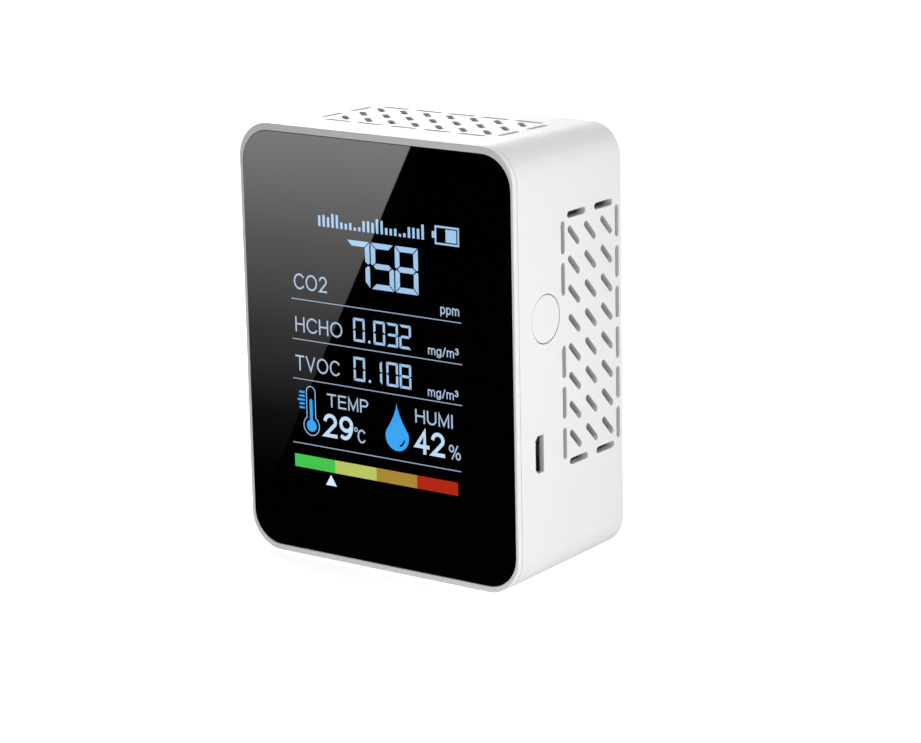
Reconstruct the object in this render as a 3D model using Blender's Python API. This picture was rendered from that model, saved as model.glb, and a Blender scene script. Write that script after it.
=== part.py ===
"""Desktop air quality monitor: a screwed two-part case, a display stack, one circuit board,
its sensors, a battery and a side power button.

Metres, +Z up, front face towards -Y, +X to the viewer's right. The origin is the bottom centre
of the whole object's box. Run with: blender --background --python part.py
"""

import math

import bmesh
import bpy
from mathutils import Matrix, Vector

MM = 0.001

# Case: outer size at the front, and the draft that narrows it towards the rear on every side.
CASE_WIDTH = 72.5 * MM
CASE_HEIGHT = 95.5 * MM
CASE_DEPTH = 40.8 * MM
CASE_DRAFT = 0.02
CORNER_RADIUS = 8.0 * MM
CORNER_STEPS = 10
WALL = 2.0 * MM
MID_Z = CASE_HEIGHT / 2
FRONT_Y = -CASE_DEPTH / 2
REAR_Y = CASE_DEPTH / 2
FRONT_ROUND = 0.3 * MM
REAR_ROUND = 0.15 * MM
FIT_GAP = 0.1 * MM
LOOSE_GAP = 0.2 * MM

# Front frame: a visible rim, a shelf that carries the window, and a spigot inside the rear shell.
RIM_DEPTH = 1.35 * MM
SHELF_Y = FRONT_Y + 1.05 * MM
SPIGOT_END_Y = FRONT_Y + 3.1 * MM
SPIGOT_INSET = 1.2 * MM
LIP_CLEARANCE = 0.15 * MM
APERTURE_HALF_WIDTH = 28.0 * MM
APERTURE_HALF_HEIGHT = 38.5 * MM

# Window and its adhesive ring.
WINDOW_WIDTH = 70.8 * MM
WINDOW_HEIGHT = 92.4 * MM
WINDOW_RADIUS = 7.2 * MM
WINDOW_Z = MID_Z - 0.12 * MM
WINDOW_RECESS = 0.1 * MM
WINDOW_THICKNESS = 0.6 * MM
WINDOW_BEVEL = 0.06 * MM
ADHESIVE_THICKNESS = 0.15 * MM

# Display stack, from the front: glass cell, light guide, and the tray that holds them.
TRAY_HALF_WIDTH = 27.8 * MM
TRAY_HALF_HEIGHT = 38.3 * MM
TRAY_FRONT_Y = FRONT_Y + 1.2 * MM
TRAY_REAR_Y = FRONT_Y + 4.2 * MM
TRAY_WALL = 0.6 * MM
TRAY_FLOOR = 0.4 * MM
GLASS_THICKNESS = 1.4 * MM
GUIDE_THICKNESS = 0.8 * MM
RIBBON_WIDTH = 16.0 * MM
RIBBON_THICKNESS = 0.2 * MM

# Circuit board.
BOARD_HALF_WIDTH = 32.6 * MM
BOARD_HALF_HEIGHT = 44.3 * MM
BOARD_RADIUS = 4.5 * MM
BOARD_FRONT_Y = FRONT_Y + 5.35 * MM
BOARD_THICKNESS = 1.6 * MM
BOARD_REAR_Y = BOARD_FRONT_Y + BOARD_THICKNESS
MOUNTED_Y = BOARD_REAR_Y + FIT_GAP

# Screws and the posts, tubes and holes around them.
CASE_SCREW_X = 29.4 * MM
CASE_SCREW_Z = 40.8 * MM
BOARD_SCREW_X = 30.3 * MM
BOARD_SCREW_Z = -4.0 * MM
SHANK_RADIUS = 1.1 * MM
PILOT_RADIUS = 1.2 * MM
CLEAR_RADIUS = 1.4 * MM
HEAD_RADIUS = 2.1 * MM
HEAD_HEIGHT = 1.4 * MM
CASE_POST_RADIUS = 2.6 * MM
BOARD_POST_RADIUS = 2.1 * MM
TUBE_RADIUS = 3.4 * MM
TUBE_BORE_RADIUS = 2.45 * MM
TUBE_WEB = 2.0 * MM

# Vent field: slanted slots in a grid, framed by straight slots.
SLOT_PITCH = 6.3 * MM
SLOT_WIDTH = 1.45 * MM
SLANT_LENGTH = 5.9 * MM
BORDER_LENGTH = 7.1 * MM
BORDER_PITCH = 8.9 * MM
END_PITCH = 10.4 * MM
BORDER_OFFSET = 4.15 * MM
END_OFFSET = 4.65 * MM
SLANT_ANGLE = math.radians(-45)
SIDE_VENT_Y = 8.05 * MM
SIDE_VENT_Z = 51.8 * MM
TOP_VENT_Y = 1.2 * MM
SLOT_END_STEPS = 4

# Power button in the right side, and the switch behind it.
BUTTON_Y = -9.1 * MM
BUTTON_Z = 57.95 * MM
BUTTON_RADIUS = 5.15 * MM
BUTTON_HOLE_RADIUS = 5.35 * MM
BUTTON_ROUND = 0.25 * MM
FLANGE_RADIUS = 6.1 * MM
FLANGE_FACE_X = 33.8 * MM
FLANGE_THICKNESS = 0.8 * MM
STEM_RADIUS = 1.6 * MM
STEM_END_X = 32.3 * MM
PLUNGER_RADIUS = 1.5 * MM
PLUNGER_LENGTH = 2.6 * MM
SWITCH_FACE_X = 30.6 * MM
SWITCH_DEPTH = 4.4 * MM
SWITCH_SIZE = 6.0 * MM

# Charging inlet in the right side.
INLET_Y = -12.1 * MM
INLET_Z = 29.45 * MM
INLET_WIDTH = 3.1 * MM
INLET_HEIGHT = 8.1 * MM
INLET_CHAMFER = 0.9 * MM
INLET_WALL = 1.1 * MM
INLET_POCKET_MARGIN = 0.9 * MM
RECEPTACLE_MOUTH_X = 34.3 * MM
RECEPTACLE_DEPTH = 5.4 * MM
RECEPTACLE_WIDTH = 7.5 * MM
RECEPTACLE_HEIGHT = 2.6 * MM
RECEPTACLE_WALL = 0.3 * MM

# Battery, glued to the rear wall, and its lead.
BATTERY_X = -4.0 * MM
BATTERY_Z = 46.0 * MM
BATTERY_WIDTH = 36.0 * MM
BATTERY_HEIGHT = 50.0 * MM
BATTERY_THICKNESS = 7.0 * MM
PAD_THICKNESS = 0.4 * MM
PAD_WIDTH = 30.0 * MM
PAD_HEIGHT = 42.0 * MM
SOCKET_X = 22.0 * MM
SOCKET_Z = 76.0 * MM
WIRE_RADIUS = 0.6 * MM
WIRE_SPACING = 2.0 * MM

# Name: base colour, roughness, metallic.
FINISHES = {
    "white_plastic": ((0.86, 0.86, 0.85), 0.42, 0.0),
    "black_glass": ((0.004, 0.004, 0.005), 0.05, 0.0),
    "black_adhesive": ((0.02, 0.02, 0.02), 0.8, 0.0),
    "display_glass": ((0.02, 0.03, 0.04), 0.08, 0.0),
    "clear_acrylic": ((0.85, 0.88, 0.9), 0.1, 0.0),
    "tray_plastic": ((0.8, 0.8, 0.78), 0.5, 0.0),
    "ribbon_film": ((0.55, 0.3, 0.08), 0.35, 0.0),
    "board_green": ((0.02, 0.16, 0.07), 0.4, 0.0),
    "black_epoxy": ((0.02, 0.02, 0.022), 0.45, 0.0),
    "plated_steel": ((0.72, 0.72, 0.74), 0.25, 1.0),
    "gold_plate": ((0.8, 0.6, 0.25), 0.3, 1.0),
    "connector_plastic": ((0.82, 0.8, 0.74), 0.5, 0.0),
    "black_plastic": ((0.03, 0.03, 0.03), 0.5, 0.0),
    "battery_foil": ((0.75, 0.76, 0.78), 0.35, 0.9),
    "foam": ((0.12, 0.12, 0.12), 0.9, 0.0),
    "red_insulation": ((0.55, 0.03, 0.03), 0.4, 0.0),
    "black_insulation": ((0.02, 0.02, 0.02), 0.4, 0.0),
    "filter_membrane": ((0.9, 0.9, 0.88), 0.9, 0.0),
    "sensor_white": ((0.85, 0.86, 0.87), 0.45, 0.0),
}


def clear_scene():
    """Remove every object, so that the script can be run again."""
    for old in list(bpy.data.objects):
        bpy.data.objects.remove(old, do_unlink=True)


def finish_material(name):
    """One Principled material from the table of finishes, made once."""
    found = bpy.data.materials.get(name)
    if found:
        return found
    colour, roughness, metallic = FINISHES[name]
    made = bpy.data.materials.new(name)
    made.use_nodes = True
    shader = made.node_tree.nodes["Principled BSDF"]
    shader.inputs["Base Color"].default_value = (*colour, 1.0)
    shader.inputs["Roughness"].default_value = roughness
    shader.inputs["Metallic"].default_value = metallic
    made.diffuse_color = (*colour, 1.0)
    return made


def add_object(name, bm, finish=None):
    """Turn a bmesh into a named object, with outward normals and smooth round surfaces."""
    bmesh.ops.recalc_face_normals(bm, faces=bm.faces[:])
    mesh = bpy.data.meshes.new(name)
    bm.to_mesh(mesh)
    bm.free()
    mesh.shade_smooth()
    mesh.set_sharp_from_angle(angle=math.radians(32))
    made = bpy.data.objects.new(name, mesh)
    bpy.context.scene.collection.objects.link(made)
    if finish:
        mesh.materials.append(finish_material(finish))
    return made


def as_cutter(tool):
    """Mark an object as a guide that only shapes others."""
    tool.hide_render = True
    tool.display_type = "WIRE"
    return tool


def combine(target, tool, operation):
    """Add an exact Boolean to target, with tool kept as its hidden guide."""
    as_cutter(tool)
    step = target.modifiers.new(f"{operation.lower()}_{tool.name}", "BOOLEAN")
    step.operation = operation
    step.solver = "EXACT"
    step.object = tool
    return target


# ---- outlines and solids ------------------------------------------------------------------

def rounded_outline(half_u, half_v, radius, steps=CORNER_STEPS):
    """Points of a rounded rectangle around (0, 0), anticlockwise."""
    points = []
    for quarter, (su, sv) in enumerate(((1, 1), (-1, 1), (-1, -1), (1, -1))):
        for step in range(steps + 1):
            angle = math.pi / 2 * (quarter + step / steps)
            u = su * (half_u - radius) + radius * math.cos(angle)
            v = sv * (half_v - radius) + radius * math.sin(angle)
            points.append((u, v))
    return points


def round_outline(radius, sides):
    """Points of a circle around (0, 0), anticlockwise."""
    angles = [2 * math.pi * side / sides for side in range(sides)]
    return [(radius * math.cos(a), radius * math.sin(a)) for a in angles]


def slot_outline(length, width, angle, steps=SLOT_END_STEPS):
    """Points of a straight slot with round ends, turned by angle."""
    reach = (length - width) / 2
    points = []
    for end, start in ((1, -math.pi / 2), (-1, math.pi / 2)):
        for step in range(steps + 1):
            turn = start + math.pi * step / steps
            u = end * reach + width / 2 * math.cos(turn)
            v = width / 2 * math.sin(turn)
            points.append((u * math.cos(angle) - v * math.sin(angle),
                           u * math.sin(angle) + v * math.cos(angle)))
    return points


def add_loft(bm, rings):
    """Skin a list of rings, each with as many points as the next, and close both ends."""
    loops = [[bm.verts.new(point) for point in ring] for ring in rings]
    count = len(loops[0])
    for low, high in zip(loops, loops[1:]):
        for i in range(count):
            j = (i + 1) % count
            bm.faces.new((low[i], low[j], high[j], high[i]))
    bm.faces.new(loops[0])
    bm.faces.new(loops[-1])


def loft(name, rings, finish=None):
    """A closed solid through rings of points."""
    bm = bmesh.new()
    add_loft(bm, rings)
    return add_object(name, bm, finish)


def to_world(axis, u, v, w):
    """Outline coordinates u, v and height w to world, for a solid that runs along axis."""
    if axis == "X":
        return Vector((w, u, v))
    if axis == "Y":
        return Vector((u, w, v))
    return Vector((u, v, w))


def add_prism(bm, outline, axis, centre, start, end):
    """A straight prism of an outline around centre (u, v), from start to end along axis."""
    cu, cv = centre
    rings = [[to_world(axis, cu + u, cv + v, w) for u, v in outline] for w in (start, end)]
    add_loft(bm, rings)


def prism(name, outline, axis, centre, start, end, finish=None):
    """A prism as its own object."""
    bm = bmesh.new()
    add_prism(bm, outline, axis, centre, start, end)
    return add_object(name, bm, finish)


def turned(name, profile, axis, centre, sides, finish=None):
    """A solid turned about axis, from (radius, height) pairs in order along it."""
    cu, cv = centre
    rings = []
    for radius, height in profile:
        ring = round_outline(radius, sides)
        rings.append([to_world(axis, cu + u, cv + v, height) for u, v in ring])
    return loft(name, rings, finish)


def block(name, low, high, finish=None, bevel=0.0):
    """A box between two corners, with its edges bevelled."""
    bm = bmesh.new()
    bmesh.ops.create_cube(bm, size=1.0)
    low, high = Vector(low), Vector(high)
    size = high - low
    bmesh.ops.scale(bm, vec=size, verts=bm.verts[:])
    bmesh.ops.translate(bm, vec=(low + high) / 2, verts=bm.verts[:])
    made = add_object(name, bm, finish)
    if bevel:
        soften = made.modifiers.new("edge_bevel", "BEVEL")
        soften.width = bevel
        soften.segments = 1
    return made


# ---- case ---------------------------------------------------------------------------------

def case_half_size(y, inset=0.0):
    """Half width and half height of the drafted case at depth y, less an inset."""
    shrink = CASE_DRAFT * (y - FRONT_Y) + inset
    return CASE_WIDTH / 2 - shrink, CASE_HEIGHT / 2 - shrink


def case_ring(y, inset=0.0):
    """The case's rounded outline at depth y, moved in by inset."""
    half_width, half_height = case_half_size(y, inset)
    outline = rounded_outline(half_width, half_height, CORNER_RADIUS - (CASE_WIDTH / 2 - half_width))
    return [Vector((u, y, MID_Z + v)) for u, v in outline]


def screw_places(x, z_list):
    """Mirrored pairs of screw places around the case's middle."""
    return [(side * x, MID_Z + z) for z in z_list for side in (-1, 1)]


def case_screw_places():
    return screw_places(CASE_SCREW_X, (CASE_SCREW_Z, -CASE_SCREW_Z))


def board_screw_places():
    return screw_places(BOARD_SCREW_X, (BOARD_SCREW_Z,))


def screw_bores(name, places, radius, start, end, sides=16):
    """Round cutters along Y at each place, in one guide."""
    bm = bmesh.new()
    for place in places:
        add_prism(bm, round_outline(radius, sides), "Y", place, start, end)
    return add_object(name, bm)


def front_frame():
    """Rim with a rounded front edge, window shelf, spigot and screw posts."""
    rim_end = FRONT_Y + RIM_DEPTH
    rings = []
    for step in range(5):
        angle = math.pi / 2 * step / 4
        inset = FRONT_ROUND * (1 - math.sin(angle))
        rings.append(case_ring(FRONT_Y + FRONT_ROUND * (1 - math.cos(angle)), inset))
    rings.append(case_ring(rim_end))
    rings.append(case_ring(rim_end, SPIGOT_INSET))
    rings.append(case_ring(SPIGOT_END_Y, SPIGOT_INSET))
    frame = loft("front_frame", rings, "white_plastic")

    recess = rounded_outline(WINDOW_WIDTH / 2 + FIT_GAP, WINDOW_HEIGHT / 2 + FIT_GAP, WINDOW_RADIUS + FIT_GAP)
    cutter = prism("cut_window_recess", recess, "Y", (0.0, WINDOW_Z), FRONT_Y - MM, SHELF_Y)
    combine(frame, cutter, "DIFFERENCE")
    aperture = rounded_outline(APERTURE_HALF_WIDTH, APERTURE_HALF_HEIGHT, 1.0 * MM, 3)
    cutter = prism("cut_display_aperture", aperture, "Y", (0.0, MID_Z), FRONT_Y, FRONT_Y + 4 * MM)
    combine(frame, cutter, "DIFFERENCE")

    post_end = BOARD_FRONT_Y - FIT_GAP
    inside_plate = SPIGOT_END_Y - 0.8 * MM
    case_posts = screw_bores("add_case_posts", case_screw_places(), CASE_POST_RADIUS, inside_plate, post_end, 20)
    combine(frame, case_posts, "UNION")
    board_posts = screw_bores("add_board_posts", board_screw_places(), BOARD_POST_RADIUS, inside_plate, post_end, 20)
    combine(frame, board_posts, "UNION")
    pilot_end = SHELF_Y + 0.65 * MM
    places = case_screw_places() + board_screw_places()
    combine(frame, screw_bores("cut_pilots", places, PILOT_RADIUS, pilot_end, post_end + MM), "DIFFERENCE")
    return frame


def shell_body():
    """Closed outer form of the rear shell, with a rounded rear edge."""
    rings = [case_ring(FRONT_Y + RIM_DEPTH + FIT_GAP), case_ring(REAR_Y - REAR_ROUND)]
    for step in range(1, 4):
        angle = math.pi / 2 * step / 3
        inset = REAR_ROUND * (1 - math.cos(angle))
        rings.append(case_ring(REAR_Y - REAR_ROUND * (1 - math.sin(angle)), inset))
    return loft("rear_shell", rings, "white_plastic")


def shell_cavity():
    """The room inside the rear shell, wider at the mouth for the front frame's spigot."""
    mouth = FRONT_Y + RIM_DEPTH - MM
    lip_end = SPIGOT_END_Y + LIP_CLEARANCE
    lip_inset = SPIGOT_INSET - LIP_CLEARANCE
    rings = [
        case_ring(mouth, lip_inset),
        case_ring(lip_end, lip_inset),
        case_ring(lip_end, WALL),
        case_ring(REAR_Y - WALL, WALL),
    ]
    return loft("cut_shell_cavity", rings)


def vent_slots(columns, rows, long_count, along_u):
    """Centres, lengths and angles of one vent field around (0, 0).

    The grid has columns along u and rows along v. Its long border runs along u or along v.
    """
    slots = []
    for column in range(columns):
        for row in range(rows):
            u = (column - (columns - 1) / 2) * SLOT_PITCH
            v = (row - (rows - 1) / 2) * SLOT_PITCH
            slots.append((u, v, SLANT_LENGTH, SLANT_ANGLE))
    short_reach = (min(columns, rows) - 1) / 2 * SLOT_PITCH + BORDER_OFFSET
    long_reach = (max(columns, rows) - 1) / 2 * SLOT_PITCH + END_OFFSET
    border = []
    for side in (-1, 1):
        for index in range(long_count):
            border.append(((index - (long_count - 1) / 2) * BORDER_PITCH, side * short_reach, 0.0))
        for index in (-0.5, 0.5):
            border.append((side * long_reach, index * END_PITCH, math.pi / 2))
    for along, across, turn in border:
        if along_u:
            slots.append((along, across, BORDER_LENGTH, turn))
        else:
            slots.append((across, along, BORDER_LENGTH, turn + math.pi / 2))
    return slots


def beside_button(y, z):
    """True for the one slot place on the right side that the button takes up."""
    near_y = abs(y - BUTTON_Y) < FLANGE_RADIUS + SLOT_WIDTH
    near_z = abs(z - BUTTON_Z) < BORDER_PITCH / 2
    return near_y and near_z


def shell_vents():
    """Every vent slot's cutter: both sides and the top."""
    bm = bmesh.new()
    for u, v, length, angle in vent_slots(3, 8, 6, along_u=False):
        y, z = SIDE_VENT_Y + u, SIDE_VENT_Z + v
        outline = slot_outline(length, SLOT_WIDTH, angle)
        for side in (-1, 1):
            if side > 0 and beside_button(y, z):
                continue
            add_prism(bm, outline, "X", (y, z), side * 32.0 * MM, side * 38.0 * MM)
    for u, v, length, angle in vent_slots(7, 3, 5, along_u=True):
        outline = slot_outline(length, SLOT_WIDTH, angle)
        add_prism(bm, outline, "Z", (u, TOP_VENT_Y + v), CASE_HEIGHT - 4 * MM, CASE_HEIGHT + 2 * MM)
    return add_object("cut_vents", bm)


def inlet_outline():
    """The charging opening: a rectangle with its two front corners cut off."""
    half_w, half_h = INLET_WIDTH / 2, INLET_HEIGHT / 2
    return [
        (half_w, -half_h),
        (half_w, half_h),
        (-half_w + INLET_CHAMFER, half_h),
        (-half_w, half_h - INLET_CHAMFER),
        (-half_w, -half_h + INLET_CHAMFER),
        (-half_w + INLET_CHAMFER, -half_h),
    ]


def rear_shell():
    """The deep rear half of the case."""
    shell = shell_body()
    combine(shell, shell_cavity(), "DIFFERENCE")
    tube_start = MOUNTED_Y
    tubes = screw_bores("add_screw_tubes", case_screw_places(), TUBE_RADIUS, tube_start, REAR_Y - WALL / 2, 24)
    combine(shell, tubes, "UNION")
    bores = screw_bores("cut_tube_bores", case_screw_places(), TUBE_BORE_RADIUS, tube_start + TUBE_WEB, REAR_Y + MM, 20)
    combine(shell, bores, "DIFFERENCE")
    webs = screw_bores("cut_tube_webs", case_screw_places(), CLEAR_RADIUS, tube_start - MM, tube_start + 3 * MM)
    combine(shell, webs, "DIFFERENCE")
    combine(shell, shell_vents(), "DIFFERENCE")
    hole = round_outline(BUTTON_HOLE_RADIUS, 40)
    combine(shell, prism("cut_button_hole", hole, "X", (BUTTON_Y, BUTTON_Z), 32 * MM, 38 * MM), "DIFFERENCE")
    inlet = prism("cut_inlet", inlet_outline(), "X", (INLET_Y, INLET_Z), 33 * MM, 38 * MM)
    combine(shell, inlet, "DIFFERENCE")
    reach_y = INLET_WIDTH / 2 + INLET_POCKET_MARGIN
    reach_z = INLET_HEIGHT / 2 + INLET_POCKET_MARGIN
    pocket = block(
        "cut_inlet_pocket",
        (33 * MM, INLET_Y - reach_y, INLET_Z - reach_z),
        (side_face_x(INLET_Y) - INLET_WALL, INLET_Y + reach_y, INLET_Z + reach_z),
    )
    combine(shell, pocket, "DIFFERENCE")
    return shell


# ---- window and display -------------------------------------------------------------------

def front_window():
    """Black printed cover plate with a fine bevel around its front edge."""
    front = FRONT_Y + WINDOW_RECESS
    rings = []
    for y, inset in ((front, WINDOW_BEVEL), (front + WINDOW_BEVEL, 0.0), (front + WINDOW_THICKNESS, 0.0)):
        outline = rounded_outline(WINDOW_WIDTH / 2 - inset, WINDOW_HEIGHT / 2 - inset, WINDOW_RADIUS - inset)
        rings.append([Vector((u, y, WINDOW_Z + v)) for u, v in outline])
    return loft("front_window", rings, "black_glass")


def window_adhesive():
    """Thin adhesive ring between the window and the frame's shelf."""
    start = FRONT_Y + WINDOW_RECESS + WINDOW_THICKNESS + FIT_GAP
    end = start + ADHESIVE_THICKNESS
    margin = 1.0 * MM
    outline = rounded_outline(WINDOW_WIDTH / 2 - margin, WINDOW_HEIGHT / 2 - margin, WINDOW_RADIUS - margin, 6)
    ring = prism("window_adhesive", outline, "Y", (0.0, WINDOW_Z), start, end, "black_adhesive")
    opening = rounded_outline(APERTURE_HALF_WIDTH + 0.5 * MM, APERTURE_HALF_HEIGHT + 0.5 * MM, 1.5 * MM, 3)
    combine(ring, prism("cut_adhesive", opening, "Y", (0.0, MID_Z), start - MM, end + MM), "DIFFERENCE")
    return ring


def lcd_glass():
    """The display cell, inside the tray's walls."""
    half_w = TRAY_HALF_WIDTH - TRAY_WALL - FIT_GAP
    half_h = TRAY_HALF_HEIGHT - TRAY_WALL - FIT_GAP
    front = TRAY_FRONT_Y
    low = (-half_w, front, MID_Z - half_h)
    high = (half_w, front + GLASS_THICKNESS, MID_Z + half_h)
    return block("lcd_glass", low, high, "display_glass", 0.1 * MM)


def lcd_light_guide():
    """The clear plate that spreads the backlight, shorter at the bottom for the ribbon."""
    half_w = TRAY_HALF_WIDTH - TRAY_WALL - LOOSE_GAP
    half_h = TRAY_HALF_HEIGHT - TRAY_WALL - LOOSE_GAP
    front = TRAY_FRONT_Y + GLASS_THICKNESS + LOOSE_GAP
    low = (-half_w, front, MID_Z - half_h + 3.6 * MM)
    high = (half_w, front + GUIDE_THICKNESS, MID_Z + half_h)
    return block("lcd_light_guide", low, high, "clear_acrylic", 0.1 * MM)


def lcd_backlight_tray():
    """Open tray behind the display, notched at the bottom for the ribbon."""
    outline = rounded_outline(TRAY_HALF_WIDTH, TRAY_HALF_HEIGHT, 0.9 * MM, 3)
    tray = prism("lcd_backlight_tray", outline, "Y", (0.0, MID_Z), TRAY_FRONT_Y, TRAY_REAR_Y, "tray_plastic")
    half_w = TRAY_HALF_WIDTH - TRAY_WALL
    half_h = TRAY_HALF_HEIGHT - TRAY_WALL
    hollow = block(
        "cut_tray",
        (-half_w, TRAY_FRONT_Y - MM, MID_Z - half_h),
        (half_w, TRAY_REAR_Y - TRAY_FLOOR, MID_Z + half_h),
    )
    combine(tray, hollow, "DIFFERENCE")
    notch_half = RIBBON_WIDTH / 2 + 0.5 * MM
    notch = block(
        "cut_ribbon_notch",
        (-notch_half, TRAY_FRONT_Y + GLASS_THICKNESS, MID_Z - TRAY_HALF_HEIGHT - MM),
        (notch_half, TRAY_REAR_Y + MM, MID_Z - TRAY_HALF_HEIGHT + 3.4 * MM),
    )
    combine(tray, notch, "DIFFERENCE")
    return tray


def smooth_path(points, steps):
    """Points on a smooth curve through the given ones (Catmull-Rom)."""
    points = [Vector(p) for p in points]
    padded = [2 * points[0] - points[1], *points, 2 * points[-1] - points[-2]]
    path = []
    for a, b, c, d in zip(padded, padded[1:], padded[2:], padded[3:]):
        for step in range(steps):
            t = step / steps
            path.append(0.5 * (2 * b + (c - a) * t + (2 * a - 5 * b + 4 * c - d) * t * t
                               + (3 * b - a - 3 * c + d) * t * t * t))
    path.append(points[-1])
    return path


def lcd_ribbon():
    """Flexible ribbon from the display's lower edge back to its connector on the board."""
    glass_back = TRAY_FRONT_Y + GLASS_THICKNESS + FIT_GAP + RIBBON_THICKNESS / 2
    entry_y = BOARD_FRONT_Y - 0.85 * MM
    bottom = MID_Z - TRAY_HALF_HEIGHT
    route = [
        (0.0, glass_back, bottom + 3.0 * MM),
        (0.0, glass_back, bottom + 1.6 * MM),
        (0.0, glass_back + 0.7 * MM, bottom + 0.3 * MM),
        (0.0, entry_y - 0.2 * MM, bottom - 1.2 * MM),
        (0.0, entry_y, bottom - 2.6 * MM),
    ]
    path = smooth_path(route, 4)
    rings = []
    for index, point in enumerate(path):
        before = path[max(index - 1, 0)]
        after = path[min(index + 1, len(path) - 1)]
        along = (after - before).normalized()
        across = Vector((0.0, -along.z, along.y)) * RIBBON_THICKNESS / 2
        half = Vector((RIBBON_WIDTH / 2, 0.0, 0.0))
        rings.append([point - half - across, point + half - across, point + half + across, point - half + across])
    return loft("lcd_ribbon", rings, "ribbon_film")


def ribbon_connector():
    """Flat connector on the board's front, with a slot for the ribbon's end."""
    top = MID_Z - TRAY_HALF_HEIGHT - 1.8 * MM
    low = (-RIBBON_WIDTH / 2 - 1.5 * MM, BOARD_FRONT_Y - 1.5 * MM, top - 3.4 * MM)
    high = (RIBBON_WIDTH / 2 + 1.5 * MM, BOARD_FRONT_Y - FIT_GAP, top)
    body = block("ribbon_connector", low, high, "connector_plastic", 0.12 * MM)
    slot_y = BOARD_FRONT_Y - 0.85 * MM
    slot = block(
        "cut_connector_slot",
        (-RIBBON_WIDTH / 2 - 0.2 * MM, slot_y - 0.25 * MM, top - 1.6 * MM),
        (RIBBON_WIDTH / 2 + 0.2 * MM, slot_y + 0.25 * MM, top + MM),
    )
    return combine(body, slot, "DIFFERENCE")


# ---- board and what it carries ------------------------------------------------------------

def main_board():
    """Circuit board with screw holes and a notch beside the button."""
    outline = rounded_outline(BOARD_HALF_WIDTH, BOARD_HALF_HEIGHT, BOARD_RADIUS, 6)
    board = prism("main_board", outline, "Y", (0.0, MID_Z), BOARD_FRONT_Y, BOARD_REAR_Y, "board_green")
    places = case_screw_places() + board_screw_places()
    holes = screw_bores("cut_board_holes", places, CLEAR_RADIUS, BOARD_FRONT_Y - MM, BOARD_REAR_Y + MM)
    combine(board, holes, "DIFFERENCE")
    reach = FLANGE_RADIUS + 0.9 * MM
    notch = block(
        "cut_board_notch",
        (BOARD_HALF_WIDTH - 0.8 * MM, BOARD_FRONT_Y - MM, BUTTON_Z - reach),
        (BOARD_HALF_WIDTH + MM, BOARD_REAR_Y + MM, BUTTON_Z + reach),
    )
    return combine(board, notch, "DIFFERENCE")


def chip(name, x, z, width, height, thickness, finish="black_epoxy"):
    """A flat rectangular component on the board's rear."""
    low = (x - width / 2, MOUNTED_Y, z - height / 2)
    high = (x + width / 2, MOUNTED_Y + thickness, z + height / 2)
    return block(name, low, high, finish, 0.15 * MM)


def board_chips():
    """Processor, charger, regulator, crystal and coil."""
    chip("processor", -4 * MM, 44 * MM, 10 * MM, 10 * MM, 1.2 * MM)
    chip("charger_chip", 20 * MM, 24 * MM, 5 * MM, 4 * MM, 1.4 * MM)
    chip("voltage_regulator", 11 * MM, 24 * MM, 3 * MM, 3 * MM, 1.3 * MM)
    chip("crystal", -15 * MM, 44 * MM, 5 * MM, 3.2 * MM, 1.0 * MM, "plated_steel")
    chip("power_coil", 20 * MM, 33 * MM, 5 * MM, 5 * MM, 3.0 * MM)


def capacitor(index, x, z):
    """Round aluminium capacitor with a rounded top."""
    top = MOUNTED_Y + 5.4 * MM
    profile = [(3.0 * MM, MOUNTED_Y), (3.0 * MM, top - 0.3 * MM), (2.7 * MM, top)]
    return turned(f"capacitor_{index}", profile, "Y", (x, z), 20, "plated_steel")


def usb_shell():
    """Folded metal shell of the charging receptacle, open towards +X."""
    back = RECEPTACLE_MOUTH_X - RECEPTACLE_DEPTH
    low = (back, MOUNTED_Y, INLET_Z - RECEPTACLE_WIDTH / 2)
    high = (RECEPTACLE_MOUTH_X, MOUNTED_Y + RECEPTACLE_HEIGHT, INLET_Z + RECEPTACLE_WIDTH / 2)
    shell = block("usb_shell", low, high, "plated_steel")
    wall = RECEPTACLE_WALL
    hollow = block(
        "cut_usb_shell",
        (low[0] + wall, low[1] + wall, low[2] + wall),
        (high[0] + MM, high[1] - wall, high[2] - wall),
    )
    return combine(shell, hollow, "DIFFERENCE")


def usb_tongue():
    """Contact tongue inside the receptacle."""
    back = RECEPTACLE_MOUTH_X - RECEPTACLE_DEPTH + RECEPTACLE_WALL + FIT_GAP
    middle = MOUNTED_Y + RECEPTACLE_HEIGHT / 2
    low = (back, middle - 0.35 * MM, INLET_Z - 2.3 * MM)
    high = (RECEPTACLE_MOUTH_X - 1.2 * MM, middle + 0.35 * MM, INLET_Z + 2.3 * MM)
    return block("usb_tongue", low, high, "black_plastic", 0.1 * MM)


def switch_body():
    """Side-acting switch on the board, with a bore for its plunger."""
    low = (SWITCH_FACE_X - SWITCH_DEPTH, MOUNTED_Y, BUTTON_Z - SWITCH_SIZE / 2)
    high = (SWITCH_FACE_X, BUTTON_Y + SWITCH_SIZE / 2, BUTTON_Z + SWITCH_SIZE / 2)
    body = block("switch_body", low, high, "black_plastic", 0.2 * MM)
    bore = round_outline(PLUNGER_RADIUS + LOOSE_GAP, 20)
    cutter = prism("cut_switch_bore", bore, "X", (BUTTON_Y, BUTTON_Z), SWITCH_FACE_X - 1.9 * MM, SWITCH_FACE_X + MM)
    return combine(body, cutter, "DIFFERENCE")


def moving_part(made, origin):
    """Put an object's origin on its joint's axis, keeping its shape where it is."""
    made.data.transform(Matrix.Translation(-origin))
    made.location = origin
    return made


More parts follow.
